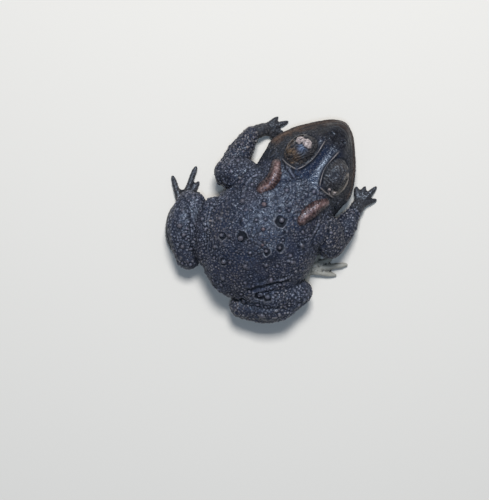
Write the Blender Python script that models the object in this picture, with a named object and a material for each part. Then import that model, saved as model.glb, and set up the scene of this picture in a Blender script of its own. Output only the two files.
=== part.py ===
"""American toad, life size, sitting low with its head up and its legs folded.

Metres, +Z up, the floor at z = 0. The toad faces -Y and its left side is +X.
Every size below is in millimetres, and MM turns it into metres when a shape is made.
A side is +1 for the toad's left and -1 for its right.
"""

import math
import random

import bmesh
import bpy
import numpy as np
from mathutils import Matrix, Vector
from mathutils.bvhtree import BVHTree

MM = 0.001

# Driving sizes
BODY_LENGTH = 75.5
VENT_Y = 36.5
SNOUT_Y = VENT_Y - BODY_LENGTH
GAP = 0.3
FLOOR = 0.0
FAR = 60.0  # a distance that lies outside the toad on every side

# How finely pieces are fused, and how many rounds of smoothing follow
BODY_FUSE = (0.55, 6)
LIMB_FUSE = (0.5, 5)
DIGIT_FUSE = (0.35, 2)

# Head, as curves over the distance behind the snout
HEAD_LENGTH = 33.5
HEAD_HALF_WIDTH = ((0, 1.6), (1.0, 3.2), (3.5, 6.1), (6.5, 8.9), (11.5, 13.0), (17.5, 16.4), (22.5, 17.4),
                   (33.5, 16.8))
HEAD_TOP = ((0, 12.2), (1.0, 14.0), (3.5, 16.6), (6.5, 18.5), (11.5, 20.7), (17.5, 22.4), (24.5, 23.3),
            (33.5, 23.4))
CROWN_HALF_WIDTH = ((0, 0.8), (1.0, 1.5), (3.5, 2.7), (6.5, 3.5), (11.5, 4.4), (17.5, 4.6), (24.5, 7.0),
                    (33.5, 9.0))
LIP_HEIGHT = ((0, 9.8), (6.5, 9.5), (17.5, 9.0), (22.5, 9.3), (33.5, 10.0))
THROAT_HEIGHT = ((0, 7.4), (1.0, 6.0), (3.5, 4.2), (6.5, 3.0), (11.5, 1.7), (17.5, 1.0), (33.5, 0.4))
CROWN_DIP_SHARE = 0.05
JAW_INSET = 0.6
JAW_ANGLE_BEHIND_SNOUT = 23.0
LIP_RADIUS = 0.95
LIP_RISE = 0.1
LIP_INSET = 0.45
SNOUT_CORNER_SHARE = 0.6
MOUTH_GROOVE_RADIUS = 0.36
MOUTH_GROOVE_DROP = 0.9
NOSTRIL = (2.6, 6.4)
NOSTRIL_RADIUS = 0.6
HEAD_ROLL = math.radians(5)
ROLL_AXIS_HEIGHT = 12.0
ROLL_FULL_Y = -15.0
ROLL_NONE_Y = -3.0
NECK_CUT = (0.0, -13.6, 24.0)
NECK_CUT_LEAN = math.radians(16)

# Eyes and the ridges of bone round them: the right eye is drawn in a little
EYE_RADIUS = 3.9
EYE_BEHIND_SNOUT = 17.8
EYE_CENTRE = {1: (7.7, SNOUT_Y + EYE_BEHIND_SNOUT, 19.8), -1: (7.1, SNOUT_Y + EYE_BEHIND_SNOUT, 19.2)}
EYE_AIM = (0.90, -0.34, 0.26)
LID_CENTRE = {1: (7.9, SNOUT_Y + EYE_BEHIND_SNOUT, 20.0), -1: (7.2, SNOUT_Y + EYE_BEHIND_SNOUT, 19.2)}
LID_RADII = {1: (5.0, 5.9, 5.4), -1: (4.7, 5.8, 5.2)}
APERTURE = (3.7, 2.4, 2.9)
CREST_RADIUS = 0.5
BROW_CREST = ((3.2, 9.5), (2.9, 13.0), (2.7, 18.0), (4.1, 22.5), (5.2, 24.5))
CHEEK_CREST = ((5.2, 24.5), (8.2, 24.7), (11.6, 24.4))
TYMPANUM_BEHIND_SNOUT = 24.3
TYMPANUM_HEIGHT = 15.4
TYMPANUM_RADIUS = 2.0
TYMPANUM_RISE = 0.45

# Trunk, as curves over y: on the left its flank bulges over the thigh, which is drawn further forward
TRUNK_START = -15.0
TRUNK_HALF_WIDTH = ((-15, 14.6), (-8, 16.2), (0, 18.6), (8, 20.8), (14, 21.5), (20, 20.8), (26, 17.6),
                    (31, 12.8), (34.5, 8.0), (36.5, 3.4))
TRUNK_TOP = ((-15, 22.8), (-8, 23.9), (0, 25.3), (8, 26.2), (14, 25.9), (20, 24.4), (26, 21.8),
             (31, 18.4), (34.5, 15.2), (36.5, 12.6))
TRUNK_BOTTOM = ((-15, 0.9), (-8, 0.3), (0, -0.4), (8, -0.8), (20, -0.8), (26, -0.2), (31, 1.6),
                (34.5, 4.4), (36.5, 8.0))
TRUNK_WIDEST = ((-15, 10.8), (8, 10.0), (20, 9.6), (36.5, 10.4))
SHOULDER = ((13.2, -1.0, 14.6), (6.4, 7.4, 6.6))
SACRUM = ((5.4, 13.5, 22.4), (4.2, 6.0, 4.0))
LEFT_FLANK = ((19.6, 14.0, 12.6), (16.9, 20.5, 13.8), (12.8, 27.5, 12.4))
LEFT_FLANK_RADII = (4.4, 5.2, 4.2)

# Parotoid glands, one behind each eye
PAROTOID = {
    1: ((11.2, -12.2), (9.2, -8.6), (8.9, -5.0), (10.0, -1.8)),
    -1: ((-10.8, -11.2), (-9.3, -7.9), (-8.3, -4.4), (-7.8, -1.2)),
}
PAROTOID_RADII = (1.9, 2.5, 2.5, 1.9)
PAROTOID_SINK = 0.3

# Front legs: shoulder, elbow and wrist, then the palm and where the fingers point
ARM = {
    1: {
        "upper": ((13.0, -2.4, 13.0), (19.2, -1.4, 11.4), (22.8, 0.0, 9.2)),
        "fore": ((23.0, -0.6, 8.6), (24.5, -8.8, 6.6), (25.2, -16.2, 4.4)),
        "palm": (22.8, -20.2, 2.3),
        "fingers": (-176, -149, -125, -102),
    },
    -1: {
        "upper": ((-12.6, -3.0, 13.0), (-17.8, -2.8, 11.4), (-21.2, -1.4, 9.2)),
        "fore": ((-21.6, -2.0, 8.6), (-22.2, -8.6, 6.6), (-21.9, -14.8, 4.4)),
        "palm": (-21.6, -18.8, 2.3),
        "fingers": (-48, -74, -98, -126),
    },
}
UPPER_ARM_RADII = (6.2, 6.7, 5.9)
FOREARM_RADII = (5.4, 4.5, 2.9)
PALM_RADII = (2.7, 2.5)
FINGER_LENGTHS = (5.2, 5.8, 8.0, 5.6)
FINGER_RADIUS = 1.2

# Hind legs: hip to knee, knee to heel, then the long foot and where its toes point
LEG = {
    1: {
        "thigh": ((8.8, 27.6, 10.4), (17.6, 23.6, 9.8), (26.2, 17.4, 9.6)),
        "shank": ((28.0, 17.8, 8.6), (24.4, 26.2, 8.9), (16.8, 33.2, 7.0)),
        "foot": ((17.6, 34.4, 3.2), (25.6, 31.4, 2.4), (29.6, 25.2, 2.2), (29.9, 20.2, 2.1)),
        "toes": (-124, -106, -88, -73, -36),
    },
    -1: {
        "thigh": ((-8.6, 28.4, 11.0), (-16.2, 25.0, 11.4), (-22.4, 20.0, 9.6)),
        "shank": ((-23.2, 19.6, 8.6), (-19.0, 29.2, 9.0), (-9.8, 35.8, 7.6)),
        "foot": ((-11.4, 36.8, 3.0), (-19.6, 32.6, 2.4), (-23.2, 22.6, 2.2), (-20.2, 11.8, 2.1)),
        "toes": (-75, -98, -120, -136, -153),
    },
}
THIGH_RADII = (6.2, 6.3, 5.0)
SHANK_RADII = (4.9, 5.8, 4.9)
FOOT_RADII = (2.8, 2.5, 2.5, 2.6)
TOE_LENGTHS = (4.4, 6.6, 9.4, 14.0, 10.2)
TOE_RADIUS = 1.25
DIGIT_START = 1.2
DIGIT_START_DROP = 0.2
DIGIT_KNUCKLE_SHARE = 0.45
DIGIT_KNUCKLE_RISE = 0.6
DIGIT_FLAT_SHARE = 0.82
DIGIT_WIDTH_SHARES = (1.15, 1.0, 0.9, 0.62)
DIGIT_HEIGHT_SHARE = 0.78
DIGIT_TIP_SHARE = 0.8
WEB_REACH = 0.62
WEB_NOTCH_SHARE = 0.7
WEB_HEIGHT = 0.35
WEB_THICKNESS = 0.8

# Warts: the large ones that the back shows, as x and y with the radius of each
LARGE_WARTS = {
    "torso": (
        (6.0, 2.2, 1.25), (-2.3, 3.0, 1.2), (5.4, 16.8, 1.35), (-7.6, 11.2, 1.0), (-2.2, 14.0, 0.75),
        (-4.4, 15.0, 0.9), (-7.5, 18.9, 1.0), (5.3, 27.1, 1.1), (1.9, 32.0, 1.0), (15.6, 15.6, 1.1),
        (11.6, 20.0, 0.9), (9.2, 18.4, 0.9), (11.0, 24.6, 1.0), (-12.0, 22.4, 1.0), (-14.8, 20.2, 0.9),
        (12.8, 5.8, 1.1), (-13.4, 5.8, 1.1), (-14.2, 12.6, 1.0), (-1.8, 23.8, 1.1), (1.0, 9.4, 0.9),
    ),
    "thigh_right": ((-12.2, 28.8, 1.1), (-14.8, 27.8, 1.0), (-18.6, 23.2, 1.0)),
    "shank_left": ((28.2, 21.2, 1.0), (25.6, 26.2, 1.1), (22.6, 28.0, 1.0), (20.4, 31.6, 1.0)),
    "shank_right": ((-8.9, 34.6, 1.0), (-17.3, 34.4, 1.3), (-21.6, 27.6, 1.0)),
}
SMALL_WART_RADIUS = (0.65, 0.95)
SMALL_WART_SPACING = 2.6
SMALL_WART_LOWEST = 5.0
SMALL_WARTS = {"torso": 52, "thigh": 8, "shank": 8, "upper_arm": 7, "forearm": 7}
WART_HEIGHT_SHARE = 0.5

# Triangles that each node is thinned to before its warts are added
TRIANGLES = {
    "body": 3000, "upper_arm": 240, "forearm": 240, "hand": 480,
    "thigh": 340, "shank": 320, "foot": 660, "parotoid": 160,
}

SKIN = {"colour": (0.048, 0.055, 0.088, 1.0), "roughness": 0.45}
LIMB_SKIN = {"colour": (0.062, 0.064, 0.086, 1.0), "roughness": 0.55}
GLAND_SKIN = {"colour": (0.150, 0.092, 0.095, 1.0), "roughness": 0.40}
EYE_GLOSS = {"colour": (0.160, 0.105, 0.030, 1.0), "roughness": 0.12}


def clear_scene():
    for obj in list(bpy.data.objects):
        bpy.data.objects.remove(obj)


def material(name, look):
    made = bpy.data.materials.new(name)
    made.use_nodes = True
    shader = made.node_tree.nodes["Principled BSDF"]
    shader.inputs["Base Color"].default_value = look["colour"]
    shader.inputs["Roughness"].default_value = look["roughness"]
    shader.inputs["Metallic"].default_value = 0.0
    return made


def smooth_curve(knots, count):
    """count points along a Catmull-Rom curve through the knots."""
    knots = np.array(knots, float)
    padded = np.vstack([2 * knots[0] - knots[1], knots, 2 * knots[-1] - knots[-2]])
    points = []
    for place in np.linspace(0, len(knots) - 1, count):
        i = min(int(place), len(knots) - 2)
        t = place - i
        before, start, end, after = padded[i:i + 4]
        points.append(0.5 * (
            2 * start + (end - before) * t
            + (2 * before - 5 * start + 4 * end - after) * t ** 2
            + (3 * start - before - 3 * end + after) * t ** 3
        ))
    return np.array(points)


def curve_at(knots, place):
    """The value at one place of a smooth curve given as (place, value) knots."""
    fine = smooth_curve(knots, 12 * len(knots))
    return float(np.interp(place, fine[:, 0], fine[:, 1]))


def new_object(name, mesh):
    obj = bpy.data.objects.new(name, mesh)
    bpy.context.scene.collection.objects.link(obj)
    return obj


def object_from_bmesh(name, shape):
    bmesh.ops.recalc_face_normals(shape, faces=shape.faces)
    mesh = bpy.data.meshes.new(name)
    shape.to_mesh(mesh)
    shape.free()
    return new_object(name, mesh)


def ellipsoid(centre, radii, turn=None, segments=24, rings=14):
    shape = bmesh.new()
    bmesh.ops.create_uvsphere(shape, u_segments=segments, v_segments=rings, radius=1.0)
    turn = turn or Matrix.Identity(4)
    place = Matrix.Translation(Vector(centre) * MM) @ turn @ Matrix.Diagonal((*(Vector(radii) * MM), 1.0))
    bmesh.ops.transform(shape, matrix=place, verts=shape.verts)
    return object_from_bmesh("ellipsoid", shape)


def tube(points, radii, steps=8, sides=12):
    """A closed tube with round ends along a smooth curve, its radius changing smoothly too."""
    line = smooth_curve([(*p, r) for p, r in zip(points, radii)], steps * (len(points) - 1) + 1)
    centres = [Vector(row[:3]) for row in line]
    widths = [row[3] for row in line]
    first = (centres[1] - centres[0]).normalized()
    last = (centres[-1] - centres[-2]).normalized()
    stations = []
    for angle in (80, 55, 30):
        back = math.sin(math.radians(angle)) * widths[0]
        stations.append((centres[0] - first * back, math.cos(math.radians(angle)) * widths[0], first))
    for i, centre in enumerate(centres):
        along = (centres[min(i + 1, len(centres) - 1)] - centres[max(i - 1, 0)]).normalized()
        stations.append((centre, widths[i], along))
    for angle in (30, 55, 80):
        ahead = math.sin(math.radians(angle)) * widths[-1]
        stations.append((centres[-1] + last * ahead, math.cos(math.radians(angle)) * widths[-1], last))
    rings = []
    side = first.orthogonal().normalized()
    for centre, width, along in stations:
        side = (side - along * side.dot(along)).normalized()
        up = along.cross(side)
        turns = [2 * math.pi * k / sides for k in range(sides)]
        rings.append([centre + (side * math.cos(a) + up * math.sin(a)) * width for a in turns])
    return loft(rings)


def loft(rings):
    """A closed skin over rings that all have the same number of points."""
    shape = bmesh.new()
    rows = [[shape.verts.new(Vector(p) * MM) for p in ring] for ring in rings]
    for row, following in zip(rows, rows[1:]):
        for k in range(len(row)):
            after = (k + 1) % len(row)
            shape.faces.new((row[k], row[after], following[after], following[k]))
    shape.faces.new(rows[0])
    shape.faces.new(rows[-1])
    return object_from_bmesh("loft", shape)


def apply_modifiers(obj):
    graph = bpy.context.evaluated_depsgraph_get()
    mesh = bpy.data.meshes.new_from_object(obj.evaluated_get(graph))
    obj.modifiers.clear()
    obj.data = mesh
    return obj


def joined(pieces):
    """One object that holds all the pieces' faces, which may still pass through one another."""
    shape = bmesh.new()
    for piece in pieces:
        shape.from_mesh(piece.data)
        bpy.data.objects.remove(piece)
    mesh = bpy.data.meshes.new("joined")
    shape.to_mesh(mesh)
    shape.free()
    return new_object("joined", mesh)


def fuse(pieces, fineness):
    """One closed, softly blended body made from pieces that overlap."""
    voxel, smoothing = fineness
    obj = joined(pieces)
    remesh = obj.modifiers.new("Remesh", "REMESH")
    remesh.mode = "VOXEL"
    remesh.voxel_size = voxel * MM
    smooth = obj.modifiers.new("Smooth", "SMOOTH")
    smooth.factor = 0.5
    smooth.iterations = smoothing
    return apply_modifiers(obj)


def thin_out(obj, triangles):
    """The same form with about that many triangles."""
    obj.data.calc_loop_triangles()
    decimate = obj.modifiers.new("Decimate", "DECIMATE")
    decimate.ratio = min(1.0, triangles / len(obj.data.loop_triangles))
    decimate.use_collapse_triangulate = True
    return apply_modifiers(obj)


def keep_largest(obj):
    """Drops the loose scraps that a cut leaves, keeping the one largest closed surface."""
    shape = bmesh.new()
    shape.from_mesh(obj.data)
    groups = []
    unseen = set(shape.faces)
    while unseen:
        group = [unseen.pop()]
        for face in group:
            for edge in face.edges:
                for other in edge.link_faces:
                    if other in unseen:
                        unseen.remove(other)
                        group.append(other)
        groups.append(group)
    groups.sort(key=len)
    for group in groups[:-1]:
        bmesh.ops.delete(shape, geom=group, context="FACES")
    bmesh.ops.triangulate(shape, faces=shape.faces)
    shape.to_mesh(obj.data)
    shape.free()
    return obj


def combine(obj, others, operation):
    """Boolean of obj with a collection of closed objects, which are removed afterwards."""
    group = bpy.data.collections.new("cutters")
    bpy.context.scene.collection.children.link(group)
    for other in others:
        group.objects.link(other)
    boolean = obj.modifiers.new("Boolean", "BOOLEAN")
    boolean.operation = operation
    boolean.operand_type = "COLLECTION"
    boolean.collection = group
    boolean.solver = "EXACT"
    apply_modifiers(obj)
    for other in others:
        bpy.data.objects.remove(other)
    bpy.data.collections.remove(group)
    return keep_largest(obj)


def swollen(obj, by=GAP):
    """A copy of obj grown outwards all round, to cut room for obj in what lies against it."""
    copy = new_object("swollen", obj.data.copy())
    normals = [v.normal.copy() for v in copy.data.vertices]
    for vert, normal in zip(copy.data.vertices, normals):
        vert.co += normal * by * MM
    return copy


def make_room(obj, neighbours):
    """Cuts obj back so that it meets each neighbour face to face with the gap between them."""
    for neighbour in neighbours:
        combine(obj, [swollen(neighbour)], "DIFFERENCE")
    return obj


def below_floor():
    """A block whose top is the floor, to cut flats that the toad rests on."""
    shape = bmesh.new()
    bmesh.ops.create_cube(shape, size=1.0)
    size = 4 * BODY_LENGTH
    place = Vector((0, 0, FLOOR - size / 2)) * MM
    matrix = Matrix.Translation(place) @ Matrix.Diagonal((size * MM, size * MM, size * MM, 1.0))
    bmesh.ops.transform(shape, matrix=matrix, verts=shape.verts)
    return object_from_bmesh("below_floor", shape)


def rest_on_floor(obj):
    return combine(obj, [below_floor()], "DIFFERENCE")


def closed_ring(half, count):
    """A smooth ring of count points through a half outline, top to bottom, and its mirror."""
    mirrored = [(-x, y, z) for x, y, z in half[-2:0:-1]]
    knots = list(half) + mirrored
    wrapped = [knots[-1]] + knots + knots[:2]
    line = smooth_curve(wrapped, (count * (len(wrapped) - 1)) + 1)
    one_turn = line[count:-count]
    length = np.concatenate([[0], np.cumsum(np.linalg.norm(np.diff(one_turn, axis=0), axis=1))])
    places = np.linspace(0, length[-1], count, endpoint=False)
    return np.stack([np.interp(places, length, one_turn[:, k]) for k in range(3)], axis=1)


def head_half_outline(behind):
    """Half of the head's outline across it, from the crown to the throat."""
    y = SNOUT_Y + behind
    width = curve_at(HEAD_HALF_WIDTH, behind)
    crown = curve_at(CROWN_HALF_WIDTH, behind)
    top = curve_at(HEAD_TOP, behind)
    lip = curve_at(LIP_HEIGHT, behind)
    throat = curve_at(THROAT_HEIGHT, behind)
    return [
        (0, y, top - CROWN_DIP_SHARE * crown),
        (crown, y, top),
        (crown + 0.58 * (width - crown), y, lip + 0.60 * (top - lip)),
        (0.93 * width, y, lip + 0.20 * (top - lip)),
        (width, y, lip),
        (width - JAW_INSET, y, lip - 0.28 * (lip - throat)),
        (0.74 * width, y, throat + 0.20 * (lip - throat)),
        (0.36 * width, y, throat + 0.03 * (lip - throat)),
        (0, y, throat),
    ]


def trunk_half_outline(y):
    """Half of the trunk's outline across it: a rounded back over a flatter belly."""
    width = curve_at(TRUNK_HALF_WIDTH, y)
    top = curve_at(TRUNK_TOP, y)
    bottom = curve_at(TRUNK_BOTTOM, y)
    middle = curve_at(TRUNK_WIDEST, y)
    outline = []
    for step in range(9):
        angle = math.pi / 2 - step * math.pi / 8
        upper = angle > 0
        roundness = 2 / 2.15 if upper else 2 / 2.7
        x = width * abs(math.cos(angle)) ** roundness
        rise = abs(math.sin(angle)) ** roundness
        z = middle + (top - middle) * rise if upper else middle - (middle - bottom) * rise
        outline.append((0.0 if step in (0, 8) else x, y, z))
    return outline


def roll_head(point):
    """Turns a point of the head about the body's long axis, fading out over the neck."""
    x, y, z = Vector(point) / MM
    share = min(1.0, max(0.0, (ROLL_NONE_Y - y) / (ROLL_NONE_Y - ROLL_FULL_Y)))
    angle = HEAD_ROLL * share * share * (3 - 2 * share)
    rise = z - ROLL_AXIS_HEIGHT
    rolled = (
        x * math.cos(angle) - rise * math.sin(angle),
        y,
        ROLL_AXIS_HEIGHT + x * math.sin(angle) + rise * math.cos(angle),
    )
    return Vector(rolled) * MM


def rolled(obj):
    for vert in obj.data.vertices:
        vert.co = roll_head(vert.co)
    return obj


def mirrored_point(point, side):
    return Vector((side * point[0], point[1], point[2]))


def lip_line(behind, drop=0.0, inset=0.0):
    """A point of the left lip, with the snout's tip at 0 behind."""
    width = curve_at(HEAD_HALF_WIDTH, behind)
    return (width - inset, SNOUT_Y + behind, curve_at(LIP_HEIGHT, behind) - drop)


def round_the_mouth(drop, inset, count):
    """The line of the lips from the right jaw angle round the snout to the left one."""
    half = [lip_line(p, drop, inset) for p in np.linspace(0.0, JAW_ANGLE_BEHIND_SNOUT, count)]
    half[0] = (SNOUT_CORNER_SHARE * half[0][0], half[0][1] + inset, half[0][2])
    return [(-x, y, z) for x, y, z in half[::-1]] + half


def head_loft():
    places = np.concatenate([[0.0, 0.5, 1.2], np.linspace(2.5, HEAD_LENGTH, 20)])
    return loft([closed_ring(head_half_outline(p), 40) for p in places])


def trunk_loft():
    places = np.linspace(TRUNK_START, VENT_Y, 30)
    return loft([closed_ring(trunk_half_outline(y), 44) for y in places])


def body_pieces():
    lips = round_the_mouth(-LIP_RISE, LIP_INSET, 12)
    pieces = [
        head_loft(),
        trunk_loft(),
        tube(lips, [LIP_RADIUS] * len(lips), steps=2),
        tube(LEFT_FLANK, LEFT_FLANK_RADII),
    ]
    for side in (1, -1):
        pieces.append(ellipsoid(mirrored_point(LID_CENTRE[side], side), LID_RADII[side]))
        pieces.append(ellipsoid(mirrored_point(SHOULDER[0], side), SHOULDER[1]))
        pieces.append(ellipsoid(mirrored_point(SACRUM[0], side), SACRUM[1]))
    return pieces


def eye_turn(side):
    """Rotation that takes +Z to where the eye looks, with +X along the slit of the lids."""
    aim = mirrored_point(EYE_AIM, side).normalized()
    along = Vector((0, 0, 1)).cross(aim).normalized()
    up = aim.cross(along)
    return Matrix((along, up, aim)).transposed().to_4x4()


def neck_block(ahead):
    """A block that fills all that lies behind, or ahead of, the leaning cut of the neck."""
    size = 2 * BODY_LENGTH
    shape = bmesh.new()
    bmesh.ops.create_cube(shape, size=1.0)
    shift = (size - GAP) / 2 * (-1 if ahead else 1)
    matrix = (
        Matrix.Translation(Vector(NECK_CUT) * MM)
        @ Matrix.Rotation(NECK_CUT_LEAN, 4, "X")
        @ Matrix.Translation(Vector((0, shift, 0)) * MM)
        @ Matrix.Diagonal((size * MM, size * MM, size * MM, 1.0))
    )
    bmesh.ops.transform(shape, matrix=matrix, verts=shape.verts)
    return object_from_bmesh("neck_block", shape)


def mouth_groove(tree):
    """A thin tube sunk half way into the skin along the line where the lips meet."""
    line = round_the_mouth(MOUTH_GROOVE_DROP, 0.0, 10)
    line = [tree.find_nearest(roll_head(Vector(p) * MM))[0] / MM for p in line]
    return tube(line, [MOUTH_GROOVE_RADIUS] * len(line), steps=1, sides=5)


def surface_below(tree, x, y):
    """Where a plumb line through (x, y) first meets the surface, and the normal there."""
    point, normal, _, _ = tree.ray_cast(Vector((x, y, FAR)) * MM, Vector((0, 0, -1)))
    return point / MM, normal


def head_surface_below(tree, x, behind):
    """The same for a place of the level head, which the roll has then moved."""
    place = roll_head(Vector((x, SNOUT_Y + behind, curve_at(HEAD_TOP, behind))) * MM) / MM
    return surface_below(tree, place.x, place.y)


def crest(tree, side, line, radius):
    """A ridge of bone that lies along the head, half sunk in it."""
    points = [head_surface_below(tree, side * x, behind)[0] for x, behind in line]
    widths = [0.6 * radius] + [radius] * (len(line) - 2) + [0.75 * radius]
    return tube(points, widths, steps=3, sides=6)


def nostril(tree, side):
    point, _ = head_surface_below(tree, side * NOSTRIL[0], NOSTRIL[1])
    return ellipsoid(point, [NOSTRIL_RADIUS] * 3, segments=8, rings=6)


def tympanum(tree, side):
    """The round eardrum, a low disc on the side of the head behind the eye."""
    width = curve_at(HEAD_HALF_WIDTH, TYMPANUM_BEHIND_SNOUT)
    start = Vector((side * width, SNOUT_Y + TYMPANUM_BEHIND_SNOUT, TYMPANUM_HEIGHT))
    start = roll_head(start * MM)
    start.x = side * FAR * MM
    point, normal, _, _ = tree.ray_cast(start, Vector((-side, 0, 0)))
    turn = normal.to_track_quat("Z", "Y").to_matrix().to_4x4()
    radii = (TYMPANUM_RADIUS, TYMPANUM_RADIUS, TYMPANUM_RISE)
    return ellipsoid(point / MM, radii, turn, segments=12, rings=6)


def eye_cutters(side):
    """The slit between the lids, and then the round socket that it opens into."""
    centre = mirrored_point(EYE_CENTRE[side], side)
    aim = mirrored_point(EYE_AIM, side).normalized()
    socket = ellipsoid(centre, [EYE_RADIUS + GAP] * 3, segments=16, rings=9)
    slit = ellipsoid(centre + aim * EYE_RADIUS, APERTURE, eye_turn(side), segments=14, rings=8)
    return [rolled(slit), rolled(socket)]


def make_head_and_torso():
    """Both, and the whole body before it was parted, which the other pieces are fitted to."""
    body = rolled(fuse(body_pieces(), BODY_FUSE))
    thin_out(body, TRIANGLES["body"])
    rest_on_floor(body)
    tree = tree_of(body)
    head = new_object("head", body.data.copy())
    torso = new_object("torso", body.data.copy())
    combine(head, [neck_block(ahead=False)], "DIFFERENCE")
    combine(torso, [neck_block(ahead=True)], "DIFFERENCE")
    for side in (1, -1):
        for added in (
            crest(tree, side, BROW_CREST, CREST_RADIUS),
            crest(tree, side, CHEEK_CREST, CREST_RADIUS),
            tympanum(tree, side),
        ):
            combine(head, [added], "UNION")
    cutters = [mouth_groove(tree)]
    for side in (1, -1):
        cutters += eye_cutters(side) + [nostril(tree, side)]
    for cutter in cutters:
        combine(head, [cutter], "DIFFERENCE")
    return head, torso, body


def make_eye(side, name):
    centre = mirrored_point(EYE_CENTRE[side], side)
    eye = rolled(ellipsoid(centre, [EYE_RADIUS] * 3, eye_turn(side), 14, 9))
    eye.name = name
    return eye


def make_parotoid(side, name, body, head):
    """The kidney-shaped gland behind the eye, a low swelling along the neck."""
    sink = Vector((0, 0, PAROTOID_SINK))
    tree = tree_of(body)
    line = [surface_below(tree, x, y)[0] - sink for x, y in PAROTOID[side]]
    gland = tube(line, PAROTOID_RADII)
    gland.name = name
    thin_out(gland, TRIANGLES["parotoid"])
    return make_room(gland, [body, head])


def digit_lines(ball, angles, lengths, radius):
    """The middle lines of slim digits that leave the ball of the foot and lie on the floor."""
    ball = Vector(ball)
    low = radius * DIGIT_HEIGHT_SHARE
    lines = []
    for angle, length in zip(angles, lengths):
        turn = math.radians(angle)
        way = Vector((math.cos(turn), math.sin(turn), 0))
        start = ball + way * DIGIT_START - Vector((0, 0, DIGIT_START_DROP))
        knuckle = ball + way * (DIGIT_START + DIGIT_KNUCKLE_SHARE * length)
        before_tip = ball + way * (DIGIT_START + DIGIT_FLAT_SHARE * length)
        tip = ball + way * (DIGIT_START + length)
        knuckle.z = low + DIGIT_KNUCKLE_RISE
        before_tip.z = low
        tip.z = DIGIT_TIP_SHARE * low
        lines.append((start, knuckle, before_tip, tip))
    return lines


def make_digits(lines, radius):
    widths = [share * radius for share in DIGIT_WIDTH_SHARES]
    return [tube(line, widths, steps=4, sides=8) for line in lines]


def webs(lines):
    """Thin skin between neighbouring toes, from their roots part of the way out."""
    plates = []
    for one, other in zip(lines, lines[1:]):
        a, b = Vector(one[0]), Vector(other[0])
        far_a = a.lerp(Vector(one[3]), WEB_REACH)
        far_b = b.lerp(Vector(other[3]), WEB_REACH)
        notch = ((a + b) / 2).lerp((far_a + far_b) / 2, WEB_NOTCH_SHARE)
        shape = bmesh.new()
        corners = (a, far_a, notch, far_b, b)
        under = [shape.verts.new(Vector((p.x, p.y, WEB_HEIGHT)) * MM) for p in corners]
        top = WEB_HEIGHT + WEB_THICKNESS
        over = [shape.verts.new(Vector((p.x, p.y, top)) * MM) for p in corners]
        shape.faces.new(under)
        shape.faces.new(over)
        for k in range(len(corners)):
            after = (k + 1) % len(corners)
            shape.faces.new((under[k], under[after], over[after], over[k]))
        plates.append(object_from_bmesh("web", shape))
    return plates


def make_limb_piece(name, pieces, kind, neighbours, fineness=LIMB_FUSE):
    obj = fuse(pieces, fineness)
    obj.name = name
    thin_out(obj, TRIANGLES[kind])
    rest_on_floor(obj)
    return make_room(obj, neighbours)


def make_arm(side, word, body, gland):
    arm = ARM[side]
    upper = make_limb_piece(
        f"upper_arm_{word}", [tube(arm["upper"], UPPER_ARM_RADII)], "upper_arm", [body, gland])
    fore = make_limb_piece(
        f"forearm_{word}", [tube(arm["fore"], FOREARM_RADII)], "forearm", [body, upper])
    wrist = Vector(arm["fore"][-1])
    lines = digit_lines(arm["palm"], arm["fingers"], FINGER_LENGTHS, FINGER_RADIUS)
    palm = tube((wrist, arm["palm"]), PALM_RADII)
    pieces = [palm] + make_digits(lines, FINGER_RADIUS)
    hand = make_limb_piece(f"hand_{word}", pieces, "hand", [body, upper, fore], DIGIT_FUSE)
    return [upper, fore, hand]


def make_leg(side, word, body, arm_nodes):
    leg = LEG[side]
    thigh = make_limb_piece(
        f"thigh_{word}", [tube(leg["thigh"], THIGH_RADII)], "thigh", [body] + arm_nodes)
    shank = make_limb_piece(
        f"shank_{word}", [tube(leg["shank"], SHANK_RADII)], "shank", [body, thigh])
    lines = digit_lines(leg["foot"][-1], leg["toes"], TOE_LENGTHS, TOE_RADIUS)
    sole = tube(leg["foot"], FOOT_RADII)
    pieces = [sole] + make_digits(lines, TOE_RADIUS) + webs(lines)
    neighbours = [body, thigh, shank] + arm_nodes
    foot = make_limb_piece(f"foot_{word}", pieces, "foot", neighbours, DIGIT_FUSE)
    return [thigh, shank, foot]


def tree_of(obj):
    shape = bmesh.new()
    shape.from_mesh(obj.data)
    tree = BVHTree.FromBMesh(shape)
    shape.free()
    return tree


def wart(point, normal, radius):
    turn = normal.to_track_quat("Z", "Y").to_matrix().to_4x4()
    height = radius * WART_HEIGHT_SHARE
    return ellipsoid(Vector(point) / MM, (radius, radius, height), turn, segments=7, rings=4)


def add_warts(obj, everything, seed):
    """Fuses warts to obj, the large ones first, leaving out any that comes near another piece."""
    kind = obj.name.replace("_left", "").replace("_right", "")
    large = spots_from_above(obj, LARGE_WARTS.get(obj.name, ()))
    spots = large + scattered_spots(obj, SMALL_WARTS[kind], large, seed)
    trees = [tree_of(other) for other in everything if other is not obj]
    domes = []
    for point, normal, radius in spots:
        reach = (radius + 2 * GAP) * MM
        if all(tree.find_nearest(point, reach)[0] is None for tree in trees):
            domes.append(wart(point, normal, radius))
    if domes:
        combine(obj, domes, "UNION")
    return obj


def spots_from_above(obj, places):
    """Spots of (point, normal, radius) on the upper surface of obj, for places of (x, y, radius)."""
    tree = tree_of(obj)
    spots = []
    for x, y, radius in places:
        point, normal = surface_below(tree, x, y)
        spots.append((point * MM, normal, radius))
    return spots


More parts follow.
